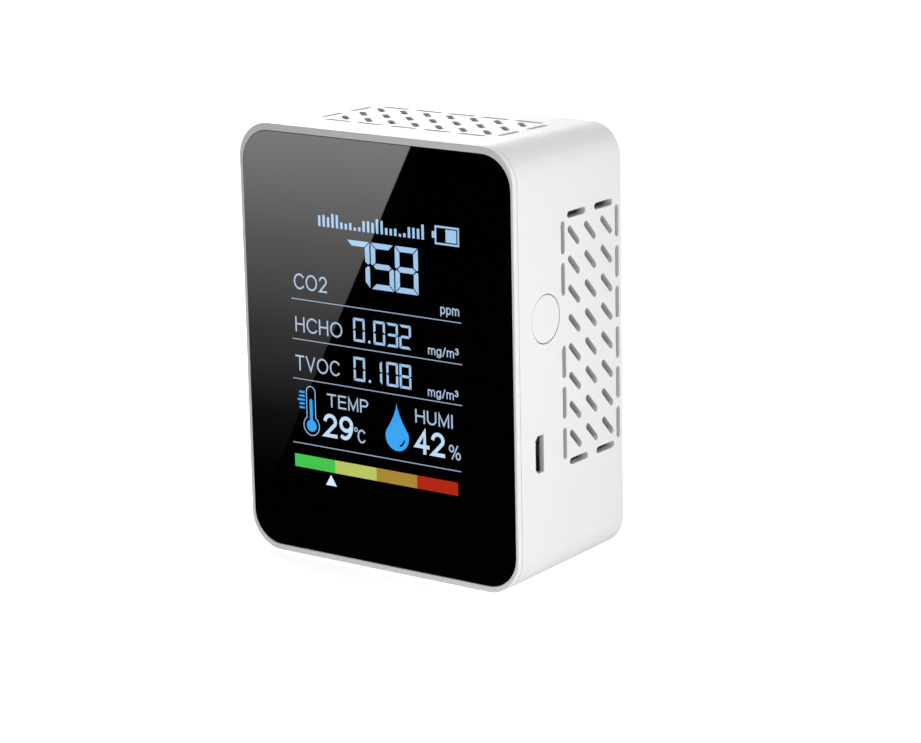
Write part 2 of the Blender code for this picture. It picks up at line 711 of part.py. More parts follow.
def switch_plunger():
    """Plunger between the switch and the button's stem."""
    end = STEM_END_X - FIT_GAP
    profile = [
        (PLUNGER_RADIUS, end - PLUNGER_LENGTH),
        (PLUNGER_RADIUS, end - 0.3 * MM),
        (PLUNGER_RADIUS - 0.3 * MM, end),
    ]
    made = turned("switch_plunger", profile, "X", (BUTTON_Y, BUTTON_Z), 20, "black_plastic")
    return moving_part(made, Vector((end, BUTTON_Y, BUTTON_Z)))


def side_face_x(y):
    """Where the right side's outer face is at depth y."""
    return case_half_size(y)[0]


def power_button():
    """Round cap flush with the right side, kept in by a flange, with a stem for the switch."""
    sides = 40
    profile = [
        (STEM_RADIUS, STEM_END_X),
        (STEM_RADIUS, FLANGE_FACE_X - FLANGE_THICKNESS),
        (FLANGE_RADIUS, FLANGE_FACE_X - FLANGE_THICKNESS),
        (FLANGE_RADIUS, FLANGE_FACE_X),
        (BUTTON_RADIUS, FLANGE_FACE_X),
    ]
    rings = []
    for radius, x in profile:
        rings.append([Vector((x, BUTTON_Y + u, BUTTON_Z + v)) for u, v in round_outline(radius, sides)])
    for depth, inset in ((BUTTON_ROUND, 0.0), (BUTTON_ROUND * 0.3, BUTTON_ROUND * 0.3), (0.0, BUTTON_ROUND)):
        outline = round_outline(BUTTON_RADIUS - inset, sides)
        rings.append([Vector((side_face_x(BUTTON_Y + u) - depth, BUTTON_Y + u, BUTTON_Z + v)) for u, v in outline])
    made = loft("power_button", rings, "white_plastic")
    return moving_part(made, Vector((side_face_x(BUTTON_Y), BUTTON_Y, BUTTON_Z)))


# ---- sensors ------------------------------------------------------------------------------

def co2_sensor():
    """Optical carbon dioxide module: header, small board, gas chamber and membrane."""
    x, z = -16 * MM, 74 * MM
    chip("co2_header", x, z - 8.2 * MM, 20 * MM, 2.5 * MM, 2.4 * MM, "black_plastic")
    board_y = MOUNTED_Y + 2.5 * MM
    board_low = (x - 14 * MM, board_y, z - 10 * MM)
    board_high = (x + 14 * MM, board_y + MM, z + 10 * MM)
    block("co2_board", board_low, board_high, "board_green", 0.15 * MM)
    chamber_y = board_y + 1.1 * MM
    chamber_low = (x - 12 * MM, chamber_y, z - 7.5 * MM)
    chamber_high = (x + 12 * MM, chamber_y + 7.5 * MM, z + 7.5 * MM)
    block("co2_chamber", chamber_low, chamber_high, "gold_plate", 0.8 * MM)
    membrane_y = chamber_high[1] + FIT_GAP
    outline = rounded_outline(6 * MM, 4 * MM, 1.2 * MM, 4)
    prism("co2_membrane", outline, "Y", (x, z), membrane_y, membrane_y + 0.3 * MM, "filter_membrane")


def hcho_sensor():
    """Formaldehyde cell: a round base and a cap with a gas hole."""
    centre = (6.5 * MM, 79.5 * MM)
    base_top = MOUNTED_Y + 2.0 * MM
    base = [(7.4 * MM, MOUNTED_Y), (7.4 * MM, base_top)]
    turned("hcho_base", base, "Y", centre, 28, "black_plastic")
    cap_start = base_top + FIT_GAP
    cap_end = cap_start + 4.6 * MM
    cap_profile = [(7.0 * MM, cap_start), (7.0 * MM, cap_end - 0.5 * MM), (6.5 * MM, cap_end)]
    cap = turned("hcho_cap", cap_profile, "Y", centre, 28, "sensor_white")
    hole = prism("cut_hcho_hole", round_outline(1.5 * MM, 16), "Y", centre, cap_end - 1.5 * MM, cap_end + MM)
    combine(cap, hole, "DIFFERENCE")


def tvoc_sensor():
    """Metal can sensor with a recessed gas window."""
    centre = (12 * MM, 42 * MM)
    top = MOUNTED_Y + 6.2 * MM
    profile = [
        (4.6 * MM, MOUNTED_Y),
        (4.6 * MM, MOUNTED_Y + 0.8 * MM),
        (4.1 * MM, MOUNTED_Y + 0.8 * MM),
        (4.1 * MM, top - 0.4 * MM),
        (3.7 * MM, top),
    ]
    can = turned("tvoc_sensor", profile, "Y", centre, 24, "plated_steel")
    window = prism("cut_tvoc_window", round_outline(2.4 * MM, 20), "Y", centre, top - 0.8 * MM, top + MM)
    combine(can, window, "DIFFERENCE")


def temperature_humidity_sensor():
    """Small white sensor box with a row of air slots across its face."""
    x, z = -24.2 * MM, 19.5 * MM
    top = MOUNTED_Y + 5.5 * MM
    body = chip("temperature_humidity_sensor", x, z, 12.5 * MM, 15.5 * MM, 5.5 * MM, "sensor_white")
    bm = bmesh.new()
    for index in range(5):
        place = (x, z + (index - 2) * 2.4 * MM)
        add_prism(bm, slot_outline(8.4 * MM, 1.1 * MM, 0.0), "Y", place, top - 1.2 * MM, top + MM)
    combine(body, add_object("cut_sensor_slots", bm), "DIFFERENCE")


def buzzer():
    """Round sounder with a sound hole."""
    centre = (-5 * MM, 16 * MM)
    top = MOUNTED_Y + 5.6 * MM
    profile = [(6.0 * MM, MOUNTED_Y), (6.0 * MM, top - 0.4 * MM), (5.6 * MM, top)]
    can = turned("buzzer", profile, "Y", centre, 24, "black_plastic")
    hole = prism("cut_buzzer_hole", round_outline(1.1 * MM, 14), "Y", centre, top - 1.4 * MM, top + MM)
    combine(can, hole, "DIFFERENCE")


# ---- battery ------------------------------------------------------------------------------

def battery_rear_y():
    """The battery's face towards the rear wall, in front of its pad."""
    return REAR_Y - WALL - PAD_THICKNESS - 3 * FIT_GAP


def battery():
    """Flat pouch cell and the foam pad that holds it to the rear wall."""
    rear = battery_rear_y()
    low = (BATTERY_X - BATTERY_WIDTH / 2, rear - BATTERY_THICKNESS, BATTERY_Z - BATTERY_HEIGHT / 2)
    high = (BATTERY_X + BATTERY_WIDTH / 2, rear, BATTERY_Z + BATTERY_HEIGHT / 2)
    block("battery_cell", low, high, "battery_foil", 1.2 * MM)
    pad_low = (BATTERY_X - PAD_WIDTH / 2, rear + FIT_GAP, BATTERY_Z - PAD_HEIGHT / 2)
    pad_high = (BATTERY_X + PAD_WIDTH / 2, rear + FIT_GAP + PAD_THICKNESS, BATTERY_Z + PAD_HEIGHT / 2)
    block("battery_pad", pad_low, pad_high, "foam")


def battery_connector():
    """Socket on the board and the plug pushed into its open top."""
    body = chip("battery_socket", SOCKET_X, SOCKET_Z, 8 * MM, 5.6 * MM, 5.0 * MM, "connector_plastic")
    floor = MOUNTED_Y + 1.4 * MM
    hollow = block(
        "cut_socket",
        (SOCKET_X - 3.3 * MM, floor, SOCKET_Z - 2.1 * MM),
        (SOCKET_X + 3.3 * MM, MOUNTED_Y + 6 * MM, SOCKET_Z + 2.1 * MM),
    )
    combine(body, hollow, "DIFFERENCE")
    plug_low = (SOCKET_X - 3.1 * MM, floor + FIT_GAP, SOCKET_Z - 1.9 * MM)
    plug_high = (SOCKET_X + 3.1 * MM, MOUNTED_Y + 6.4 * MM, SOCKET_Z + 1.9 * MM)
    block("battery_plug", plug_low, plug_high, "connector_plastic", 0.2 * MM)


def battery_wire(name, offset, finish):
    """One insulated wire from the plug over to the battery's upper edge."""
    plug_top = MOUNTED_Y + 6.4 * MM
    cell_top = BATTERY_Z + BATTERY_HEIGHT / 2
    cell_y = battery_rear_y() - BATTERY_THICKNESS / 2
    route = [
        (SOCKET_X + offset, plug_top + LOOSE_GAP, SOCKET_Z),
        (SOCKET_X + offset, plug_top + 3 * MM, SOCKET_Z),
        (SOCKET_X - 2 * MM + offset, plug_top + 7.5 * MM, SOCKET_Z + 1.5 * MM),
        (SOCKET_X - 7 * MM + offset, cell_y - 5.5 * MM, cell_top + 7.0 * MM),
        (SOCKET_X - 11 * MM + offset, cell_y - 1.2 * MM, cell_top + 5.0 * MM),
        (SOCKET_X - 12 * MM + offset, cell_y, cell_top + 2.0 * MM),
        (SOCKET_X - 12 * MM + offset, cell_y, cell_top + LOOSE_GAP),
    ]
    path = smooth_path(route, 5)
    curve = bpy.data.curves.new(name, "CURVE")
    curve.dimensions = "3D"
    curve.bevel_depth = WIRE_RADIUS
    curve.bevel_resolution = 2
    curve.use_fill_caps = True
    spline = curve.splines.new("POLY")
    spline.points.add(len(path) - 1)
    for point, place in zip(spline.points, path):
        point.co = (*place, 1.0)
    curve.materials.append(finish_material(finish))
    made = bpy.data.objects.new(name, curve)
    bpy.context.scene.collection.objects.link(made)
    return made


# ---- fasteners ----------------------------------------------------------------------------

def screw(name, place, seat_y, length):
    """Pan head screw driven from the rear: shank towards -Y, head and cross recess towards +Y."""
    top = seat_y + HEAD_HEIGHT
    profile = [
        (SHANK_RADIUS * 0.6, seat_y - length),
        (SHANK_RADIUS, seat_y - length + 0.6 * MM),
        (SHANK_RADIUS, seat_y),
        (HEAD_RADIUS, seat_y),
        (HEAD_RADIUS, top - 0.6 * MM),
        (HEAD_RADIUS * 0.8, top - 0.15 * MM),
        (HEAD_RADIUS * 0.5, top),
    ]
    made = turned(name, profile, "Y", place, 16, "plated_steel")
    x, z = place
    long_half, short_half = 1.1 * MM, 0.22 * MM
    outline = []
    for turn in range(4):
        spin = Matrix.Rotation(math.pi / 2 * turn, 2)
        for corner in ((long_half, -short_half), (long_half, short_half), (short_half, short_half)):
            outline.append(tuple(spin @ Vector(corner)))
    recess = prism(f"cut_{name}", outline, "Y", (x, z), top - 0.8 * MM, top + MM)
    return combine(made, recess, "DIFFERENCE")


def fasteners():
    """Case screws deep in the shell's tubes, and board screws."""
    case_seat = MOUNTED_Y + TUBE_WEB + FIT_GAP
    for index, place in enumerate(case_screw_places(), 1):
        screw(f"case_screw_{index}", place, case_seat, case_seat - SHELF_Y - 1.1 * MM)
    board_seat = MOUNTED_Y
    for index, place in enumerate(board_screw_places(), 1):
        screw(f"board_screw_{index}", place, board_seat, board_seat - SHELF_Y - 1.1 * MM)


def main():
    clear_scene()
    front_frame()
    rear_shell()
    front_window()
    window_adhesive()
    lcd_glass()
    lcd_light_guide()
    lcd_backlight_tray()
    lcd_ribbon()
    ribbon_connector()
    main_board()
    board_chips()
    capacitor(1, 6 * MM, 60 * MM)
    capacitor(2, 14 * MM, 60 * MM)
    usb_shell()
    usb_tongue()
    switch_body()
    switch_plunger()
    power_button()
    co2_sensor()
    hcho_sensor()
    tvoc_sensor()
    temperature_humidity_sensor()
    buzzer()
    battery()
    battery_connector()
    battery_wire("battery_wire_red", -WIRE_SPACING / 2, "red_insulation")
    battery_wire("battery_wire_black", WIRE_SPACING / 2, "black_insulation")
    fasteners()


main()
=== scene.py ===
"""Looks of the air quality monitor: finishes, display graphics, studio and camera around the CAD frame."""
import math

import bpy
from mathutils import Matrix, Vector
from mathutils.geometry import delaunay_2d_cdt


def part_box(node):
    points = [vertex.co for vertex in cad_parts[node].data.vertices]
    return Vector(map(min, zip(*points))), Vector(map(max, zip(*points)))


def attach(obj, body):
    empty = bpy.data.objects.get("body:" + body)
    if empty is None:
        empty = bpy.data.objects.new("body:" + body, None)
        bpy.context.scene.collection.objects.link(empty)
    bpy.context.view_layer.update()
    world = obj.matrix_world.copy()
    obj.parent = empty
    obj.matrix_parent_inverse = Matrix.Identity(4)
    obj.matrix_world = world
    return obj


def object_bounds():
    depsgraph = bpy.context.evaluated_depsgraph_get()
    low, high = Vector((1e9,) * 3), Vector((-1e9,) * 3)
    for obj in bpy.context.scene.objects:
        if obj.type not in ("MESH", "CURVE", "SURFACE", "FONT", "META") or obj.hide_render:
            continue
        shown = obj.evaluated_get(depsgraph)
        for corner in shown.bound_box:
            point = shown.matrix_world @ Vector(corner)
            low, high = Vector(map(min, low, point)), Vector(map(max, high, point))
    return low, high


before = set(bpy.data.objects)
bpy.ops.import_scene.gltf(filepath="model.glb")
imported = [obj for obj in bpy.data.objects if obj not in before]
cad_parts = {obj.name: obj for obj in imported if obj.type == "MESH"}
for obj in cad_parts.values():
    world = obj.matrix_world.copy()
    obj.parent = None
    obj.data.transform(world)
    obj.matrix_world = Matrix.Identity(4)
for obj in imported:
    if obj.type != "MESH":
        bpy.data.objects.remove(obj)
cad_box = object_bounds()

MM = 0.001

# Camera: its place from the middle of the object, and how far it turns to the left, tips down and rolls.
CAMERA_OFFSET = Vector((414.64, -549.92, 164.05)) * MM
CAMERA_YAW = math.radians(36.556)
CAMERA_PITCH = math.radians(14.014)
CAMERA_ROLL = math.radians(-1.149)
CAMERA_LENS = 127.30
CAMERA_SENSOR = 36.0

# The case's rounded corners, and how much each side leans in towards the back, per metre of depth.
CASE_CORNER_RADIUS = 8.0 * MM
CASE_DRAFT = 0.02

# Depths below the case's surface between which its plastic turns from its own colour to painted shade.
PAINTED_SHADE_STARTS = 0.2 * MM
PAINTED_SHADE_FULL = 1.8 * MM

# Display graphics stand this far in front of the window, and are this thick.
INK_GAP = 0.012 * MM
INK_THICKNESS = 0.020 * MM

# Spacing of the display's own rows and columns.
PIXEL_PITCH = 0.16 * MM

# How strongly acrylic and glass bend light.
ACRYLIC_IOR = 1.49

# Display colours, as linear light.
PALE_BLUE = (0.385, 0.62, 0.90)
LABEL_BLUE = (0.43, 0.57, 0.77)
BOLD_BLUE = (0.57, 0.78, 0.97)
ICON_BLUE = (0.05, 0.41, 0.97)
WHITE_LIGHT = (0.75, 0.90, 1.00)
GREEN_LIGHT = (0.065, 0.60, 0.085)
YELLOW_LIGHT = (0.53, 0.60, 0.135)
AMBER_LIGHT = (0.43, 0.27, 0.042)
RED_LIGHT = (0.47, 0.022, 0.009)


# ---------------------------------------------------------------- material building blocks

def start_material(name, colour, roughness, metallic=0.0):
    """A new node material and its shader."""
    material = bpy.data.materials.new(name)
    material.use_nodes = True
    shader = material.node_tree.nodes["Principled BSDF"]
    shader.inputs["Base Color"].default_value = (*colour, 1.0)
    shader.inputs["Roughness"].default_value = roughness
    shader.inputs["Metallic"].default_value = metallic
    return material, shader


def place(material, stretch=(1.0, 1.0, 1.0)):
    """Coordinates on the object, each axis multiplied by its stretch."""
    tree = material.node_tree
    coordinates = tree.nodes.new("ShaderNodeTexCoord")
    mapping = tree.nodes.new("ShaderNodeMapping")
    mapping.inputs["Scale"].default_value = stretch
    tree.links.new(coordinates.outputs["Object"], mapping.inputs["Vector"])
    return mapping.outputs["Vector"]


def noise(material, size, detail=2.0, stretch=(1.0, 1.0, 1.0)):
    """Cloudy pattern whose blotches are about size across."""
    tree = material.node_tree
    texture = tree.nodes.new("ShaderNodeTexNoise")
    texture.inputs["Scale"].default_value = 1.0 / size
    texture.inputs["Detail"].default_value = detail
    tree.links.new(place(material, stretch), texture.inputs["Vector"])
    return texture.outputs["Fac"]


def cells(material, size):
    """Cellular pattern whose cells are about size across."""
    tree = material.node_tree
    texture = tree.nodes.new("ShaderNodeTexVoronoi")
    texture.inputs["Scale"].default_value = 1.0 / size
    tree.links.new(place(material), texture.inputs["Vector"])
    return texture.outputs["Distance"]


def stripes(material, pitch, axis):
    """Parallel bands, pitch apart along an axis."""
    tree = material.node_tree
    texture = tree.nodes.new("ShaderNodeTexWave")
    texture.bands_direction = axis
    texture.inputs["Scale"].default_value = math.pi / 10.0 / pitch
    tree.links.new(place(material), texture.inputs["Vector"])
    return texture.outputs["Fac"]


def remap(material, source, low, high, start=0.0, stop=1.0):
    """The source's range from start to stop, brought to low to high."""
    tree = material.node_tree
    node = tree.nodes.new("ShaderNodeMapRange")
    node.inputs["From Min"].default_value = start
    node.inputs["From Max"].default_value = stop
    node.inputs["To Min"].default_value = low
    node.inputs["To Max"].default_value = high
    tree.links.new(source, node.inputs["Value"])
    return node.outputs["Result"]


def vary(material, pattern, low, high):
    """A noise pattern, whose values mostly lie from 0.3 to 0.7, brought to low to high."""
    return remap(material, pattern, low, high, 0.3, 0.7)


def blend_colour(material, factor, first, second):
    """Colour from the first to the second as the factor rises; each is a colour or another node's output."""
    tree = material.node_tree
    node = tree.nodes.new("ShaderNodeMix")
    node.data_type = "RGBA"
    tree.links.new(factor, node.inputs["Factor"])
    for socket, value in ((node.inputs[6], first), (node.inputs[7], second)):
        if isinstance(value, tuple):
            socket.default_value = (*value, 1.0)
        else:
            tree.links.new(value, socket)
    return node.outputs[2]


def calculate(material, operation, first, second=0.0):
    """Result of a calculation on one or two values, each a number or another node's output."""
    tree = material.node_tree
    node = tree.nodes.new("ShaderNodeMath")
    node.operation = operation
    for socket, value in zip(node.inputs, (first, second)):
        if isinstance(value, float):
            socket.default_value = value
        else:
            tree.links.new(value, socket)
    return node.outputs["Value"]


def product(material, first, second):
    """Two values multiplied."""
    return calculate(material, "MULTIPLY", first, second)


def feed(material, source, socket):
    """Links a node's output to a socket."""
    material.node_tree.links.new(source, socket)


def raise_surface(material, shader, heights):
    """Bumps the surface by several patterns; heights is a list of (pattern, depth in metres)."""
    tree = material.node_tree
    normal = None
    for pattern, depth in heights:
        node = tree.nodes.new("ShaderNodeBump")
        node.inputs["Strength"].default_value = 1.0
        node.inputs["Distance"].default_value = depth
        tree.links.new(pattern, node.inputs["Height"])
        if normal is not None:
            tree.links.new(normal, node.inputs["Normal"])
        normal = node.outputs["Normal"]
    tree.links.new(normal, shader.inputs["Normal"])


# ---------------------------------------------------------------- finishes

def depth_below_case(material):
    """How deep a point lies below the case's outer surface, in metres."""
    tree = material.node_tree
    parts = tree.nodes.new("ShaderNodeSeparateXYZ")
    tree.links.new(place(material), parts.inputs["Vector"])
    low, high = cad_box
    middle = (low + high) / 2
    half = (high - low) / 2
    from_front = calculate(material, "SUBTRACT", parts.outputs["Y"], low.y)
    narrowed = product(material, from_front, CASE_DRAFT)
    beyond = []
    for axis, centre, reach in (("X", middle.x, half.x), ("Z", middle.z, half.z)):
        out = calculate(material, "ABSOLUTE", calculate(material, "SUBTRACT", parts.outputs[axis], centre))
        out = calculate(material, "ADD", out, narrowed)
        out = calculate(material, "SUBTRACT", out, reach - CASE_CORNER_RADIUS)
        out = calculate(material, "MAXIMUM", out, 0.0)
        beyond.append(calculate(material, "POWER", out, 2.0))
    distance = calculate(material, "SQRT", calculate(material, "ADD", *beyond))
    from_side = calculate(material, "SUBTRACT", CASE_CORNER_RADIUS, distance)
    from_back = calculate(material, "SUBTRACT", high.y, parts.outputs["Y"])
    from_ends = calculate(material, "MINIMUM", from_front, from_back)
    return calculate(material, "MINIMUM", from_side, from_ends)


def moulded_plastic(name, colour, roughness, grain=0.35 * MM, depth=0.0045 * MM, tint=0.985, inside=None):
    """Spark-textured moulded plastic: fine grain, faint flow marks and uneven gloss.

    An inside colour, if given, takes over below the case's outer surface as painted shade, darkening
    recesses such as the vent slots' walls.
    """
    material, shader = start_material(name, colour, roughness)
    shade = vary(material, noise(material, 14 * MM, 3.0), 0.0, 1.0)
    darker = tuple(channel * tint for channel in colour)
    surface = blend_colour(material, shade, darker, colour)
    if inside is not None:
        # Painted shade: the deeper a point lies below the case's outer surface, the more the inside colour
        # takes over.
        painted_shade_mask = remap(material, depth_below_case(material), 0.0, 1.0, PAINTED_SHADE_STARTS, PAINTED_SHADE_FULL)
        surface = blend_colour(material, painted_shade_mask, surface, inside)
    feed(material, surface, shader.inputs["Base Color"])
    gloss = vary(material, noise(material, 3.0 * MM, 4.0), roughness - 0.05, roughness + 0.06)
    feed(material, gloss, shader.inputs["Roughness"])
    flow = noise(material, 9 * MM, 2.0, stretch=(1.0, 1.0, 0.35))
    raise_surface(material, shader, [(flow, 0.02 * MM), (cells(material, grain), depth)])
    return material


def printed_glass(name):
    """Clear acrylic sheet printed black behind: deep, glossy, with hairline scratches and a little dust."""
    material, shader = start_material(name, (0.0006, 0.0006, 0.0008), 0.008)
    shader.inputs["IOR"].default_value = ACRYLIC_IOR
    dust = remap(material, cells(material, 0.9 * MM), 1.0, 0.0, 0.0, 0.05)
    feed(
        material,
        blend_colour(material, dust, (0.0006, 0.0006, 0.0008), (0.003, 0.003, 0.0031)),
        shader.inputs["Base Color"],
    )
    hair = noise(material, 0.25 * MM, 2.0, stretch=(1.0, 1.0, 0.02))
    feed(material, remap(material, hair, 0.006, 0.014, 0.45, 0.75), shader.inputs["Roughness"])
    return material


def display_light(name, colour, strength=1.0):
    """A lit part of the display: colour broken up by the panel's rows and columns, under the same gloss."""
    material, shader = start_material(name, (0.001, 0.001, 0.0012), 0.01)
    shader.inputs["IOR"].default_value = ACRYLIC_IOR
    shader.inputs["Emission Strength"].default_value = strength
    rows = remap(material, stripes(material, PIXEL_PITCH, "Z"), 0.86, 1.0, 0.0, 0.4)
    columns = remap(material, stripes(material, PIXEL_PITCH, "X"), 0.90, 1.0, 0.0, 0.4)
    uneven = vary(material, noise(material, 6 * MM, 2.0), 0.95, 1.03)
    factor = product(material, product(material, rows, columns), uneven)
    feed(material, blend_colour(material, factor, (0.0, 0.0, 0.0), colour), shader.inputs["Emission Color"])
    return material


def clear_sheet(name, colour, roughness):
    """A clear or milky plastic sheet."""
    material, shader = start_material(name, colour, roughness)
    shader.inputs["IOR"].default_value = ACRYLIC_IOR
    shader.inputs["Transmission Weight"].default_value = 0.55
    haze = vary(material, noise(material, 2 * MM, 3.0), roughness, roughness + 0.08)
    feed(material, haze, shader.inputs["Roughness"])
    dots = cells(material, 0.8 * MM)
    raise_surface(material, shader, [(dots, 0.01 * MM)])
    return material


def glass_panel(name):
    """Liquid crystal glass, dark, with fine electrode rows."""
    material, shader = start_material(name, (0.012, 0.014, 0.018), 0.06)
    rows = stripes(material, PIXEL_PITCH, "Z")
    feed(
        material,
        blend_colour(material, rows, (0.010, 0.012, 0.016), (0.020, 0.023, 0.028)),
        shader.inputs["Base Color"],
    )
    gloss = vary(material, noise(material, 5 * MM, 2.0), 0.05, 0.09)
    feed(material, gloss, shader.inputs["Roughness"])
    return material


def film(name, colour, track):
    """Flexible film with copper tracks running along it."""
    material, shader = start_material(name, colour, 0.32)
    lines = remap(material, stripes(material, 0.5 * MM, "X"), 0.0, 1.0, 0.45, 0.55)
    feed(material, blend_colour(material, lines, colour, track), shader.inputs["Base Color"])
    gloss = vary(material, noise(material, 2 * MM, 3.0), 0.26, 0.4)
    feed(material, gloss, shader.inputs["Roughness"])
    raise_surface(material, shader, [(lines, 0.02 * MM)])
    return material


def circuit_board(name):
    """Green solder mask over copper: routed tracks, ground fill and a fine glass weave."""
    material, shader = start_material(name, (0.012, 0.10, 0.035), 0.3)
    tree = material.node_tree
    track_cells = tree.nodes.new("ShaderNodeTexVoronoi")
    track_cells.distance = "CHEBYCHEV"
    track_cells.feature = "DISTANCE_TO_EDGE"
    track_cells.inputs["Scale"].default_value = 1.0 / (2.6 * MM)
    tree.links.new(place(material), track_cells.inputs["Vector"])
    tracks = remap(material, track_cells.outputs["Distance"], 1.0, 0.0, 0.06, 0.10)
    mask = blend_colour(material, tracks, (0.010, 0.085, 0.030), (0.030, 0.20, 0.065))
    cloud = remap(material, noise(material, 8 * MM, 3.0), 0.0, 0.35, 0.35, 0.7)
    feed(material, blend_colour(material, cloud, mask, (0.008, 0.065, 0.028)), shader.inputs["Base Color"])
    gloss = vary(material, noise(material, 1.5 * MM, 3.0), 0.24, 0.38)
    feed(material, gloss, shader.inputs["Roughness"])
    weave = product(material, stripes(material, 0.55 * MM, "X"), stripes(material, 0.55 * MM, "Z"))
    raise_surface(material, shader, [(tracks, 0.03 * MM), (weave, 0.004 * MM)])
    return material


def moulded_epoxy(name, colour):
    """Matt chip housing with fine filler grain."""
    material, shader = start_material(name, colour, 0.55)
    grain = noise(material, 0.12 * MM, 3.0)
    darker = tuple(channel * 0.7 for channel in colour)
    feed(material, blend_colour(material, grain, darker, colour), shader.inputs["Base Color"])
    feed(material, vary(material, grain, 0.45, 0.65), shader.inputs["Roughness"])
    raise_surface(material, shader, [(grain, 0.01 * MM)])
    return material


def brushed_metal(name, colour, roughness, stretch):
    """Plated or rolled metal with drawn marks and faint tarnish."""
    material, shader = start_material(name, colour, roughness, metallic=1.0)
    tarnish = remap(material, noise(material, 2.5 * MM, 4.0), 0.0, 1.0, 0.35, 0.75)
    darker = tuple(channel * 0.82 for channel in colour)
    feed(material, blend_colour(material, tarnish, colour, darker), shader.inputs["Base Color"])
    marks = noise(material, 0.15 * MM, 2.0, stretch=stretch)
    gloss = vary(material, marks, roughness - 0.06, roughness + 0.12)
    feed(material, gloss, shader.inputs["Roughness"])
    raise_surface(material, shader, [(marks, 0.004 * MM)])
    return material


def crinkled_foil(name):
    """Aluminium laminate of a pouch cell, with soft creases."""
    material, shader = start_material(name, (0.62, 0.63, 0.64), 0.36, metallic=1.0)
    creases = noise(material, 7 * MM, 4.0)
    patches = vary(material, creases, 0.0, 1.0)
    feed(
        material,
        blend_colour(material, patches, (0.56, 0.57, 0.58), (0.66, 0.67, 0.68)),
        shader.inputs["Base Color"],
    )
    feed(material, vary(material, creases, 0.28, 0.45), shader.inputs["Roughness"])
    raise_surface(material, shader, [(creases, 0.35 * MM), (cells(material, 1.1 * MM), 0.01 * MM)])
    return material


def cellular_foam(name, colour):
    """Open foam or porous membrane."""
    material, shader = start_material(name, colour, 0.9)
    pores = cells(material, 0.45 * MM)
    darker = tuple(channel * 0.45 for channel in colour)
    feed(material, blend_colour(material, pores, darker, colour), shader.inputs["Base Color"])
    feed(material, remap(material, pores, 0.95, 0.82), shader.inputs["Roughness"])
    raise_surface(material, shader, [(pores, 0.12 * MM)])
    return material


def wire_cover(name, colour):
    """Extruded insulation: smooth, slightly waxy."""
    material, shader = start_material(name, colour, 0.38)
    waxy = noise(material, 1.2 * MM, 3.0)
    darker = tuple(channel * 0.8 for channel in colour)
    feed(material, blend_colour(material, waxy, darker, colour), shader.inputs["Base Color"])
    feed(material, vary(material, waxy, 0.32, 0.46), shader.inputs["Roughness"])
    raise_surface(material, shader, [(waxy, 0.02 * MM)])
    return material


def finishes():
    """Every finish of the record's material slots, by slot name."""
    return {
        # The white plastic's inside colour is painted shade for the vent slots and other recesses.
        "white_plastic": moulded_plastic(
            "white_plastic_finish", (0.84, 0.842, 0.84), 0.42, inside=(0.50, 0.50, 0.505)
        ),
        "black_glass": printed_glass("black_glass_finish"),
        "black_adhesive": cellular_foam("black_adhesive_finish", (0.012, 0.012, 0.013)),
        "display_glass": glass_panel("display_glass_finish"),
        "clear_acrylic": clear_sheet("clear_acrylic_finish", (0.90, 0.92, 0.93), 0.08),
        "tray_plastic": moulded_plastic("tray_plastic_finish", (0.72, 0.73, 0.73), 0.5),
        "ribbon_film": film("ribbon_film_finish", (0.25, 0.10, 0.025), (0.42, 0.19, 0.05)),
        "board_green": circuit_board("board_green_finish"),
        "black_epoxy": moulded_epoxy("black_epoxy_finish", (0.018, 0.018, 0.02)),
        "plated_steel": brushed_metal("plated_steel_finish", (0.66, 0.66, 0.65), 0.28, (1.0, 0.06, 1.0)),
        "gold_plate": brushed_metal("gold_plate_finish", (0.86, 0.62, 0.26), 0.24, (1.0, 0.1, 1.0)),
        "connector_plastic": moulded_plastic(
            "connector_plastic_finish", (0.78, 0.76, 0.70), 0.45, grain=0.2 * MM, tint=0.94
        ),
        "black_plastic": moulded_plastic(
            "black_plastic_finish", (0.022, 0.022, 0.024), 0.48, grain=0.2 * MM, tint=0.8
        ),
        "battery_foil": crinkled_foil("battery_foil_finish"),
        "foam": cellular_foam("foam_finish", (0.10, 0.10, 0.105)),
        "red_insulation": wire_cover("red_insulation_finish", (0.55, 0.018, 0.012)),
        "black_insulation": wire_cover("black_insulation_finish", (0.015, 0.015, 0.016)),
        "filter_membrane": cellular_foam("filter_membrane_finish", (0.80, 0.80, 0.78)),
        "sensor_white": moulded_plastic("sensor_white_finish", (0.75, 0.75, 0.72), 0.5, grain=0.2 * MM),
    }


# Edge rounding of the pieces whose edges catch the light, in metres.
SOFT_EDGES = {
    "rear_shell": 0.16 * MM,
    "front_frame": 0.10 * MM,
    "power_button": 0.08 * MM,
    "usb_shell": 0.05 * MM,
    "usb_tongue": 0.05 * MM,
}


def smooth_group():
    """Geometry nodes that shade a mesh smooth except across its sharp edges."""
    tree = bpy.data.node_groups.new("shade_smooth_by_angle", "GeometryNodeTree")
    tree.interface.new_socket("Geometry", in_out="INPUT", socket_type="NodeSocketGeometry")
    tree.interface.new_socket("Geometry", in_out="OUTPUT", socket_type="NodeSocketGeometry")
    given = tree.nodes.new("NodeGroupInput")
    result = tree.nodes.new("NodeGroupOutput")
    angle = tree.nodes.new("GeometryNodeInputMeshEdgeAngle")
    sharp = tree.nodes.new("FunctionNodeCompare")
    sharp.operation = "GREATER_THAN"
    sharp.inputs["B"].default_value = math.radians(32)
    normals = tree.nodes.new("GeometryNodeSetMeshNormal")
    normals.inputs["Remove Custom"].default_value = True
    tree.links.new(angle.outputs["Unsigned Angle"], sharp.inputs["A"])
    tree.links.new(sharp.outputs["Result"], normals.inputs["Edge Sharpness"])
    tree.links.new(given.outputs["Geometry"], normals.inputs["Mesh"])
    tree.links.new(normals.outputs["Mesh"], result.inputs["Geometry"])
    return tree


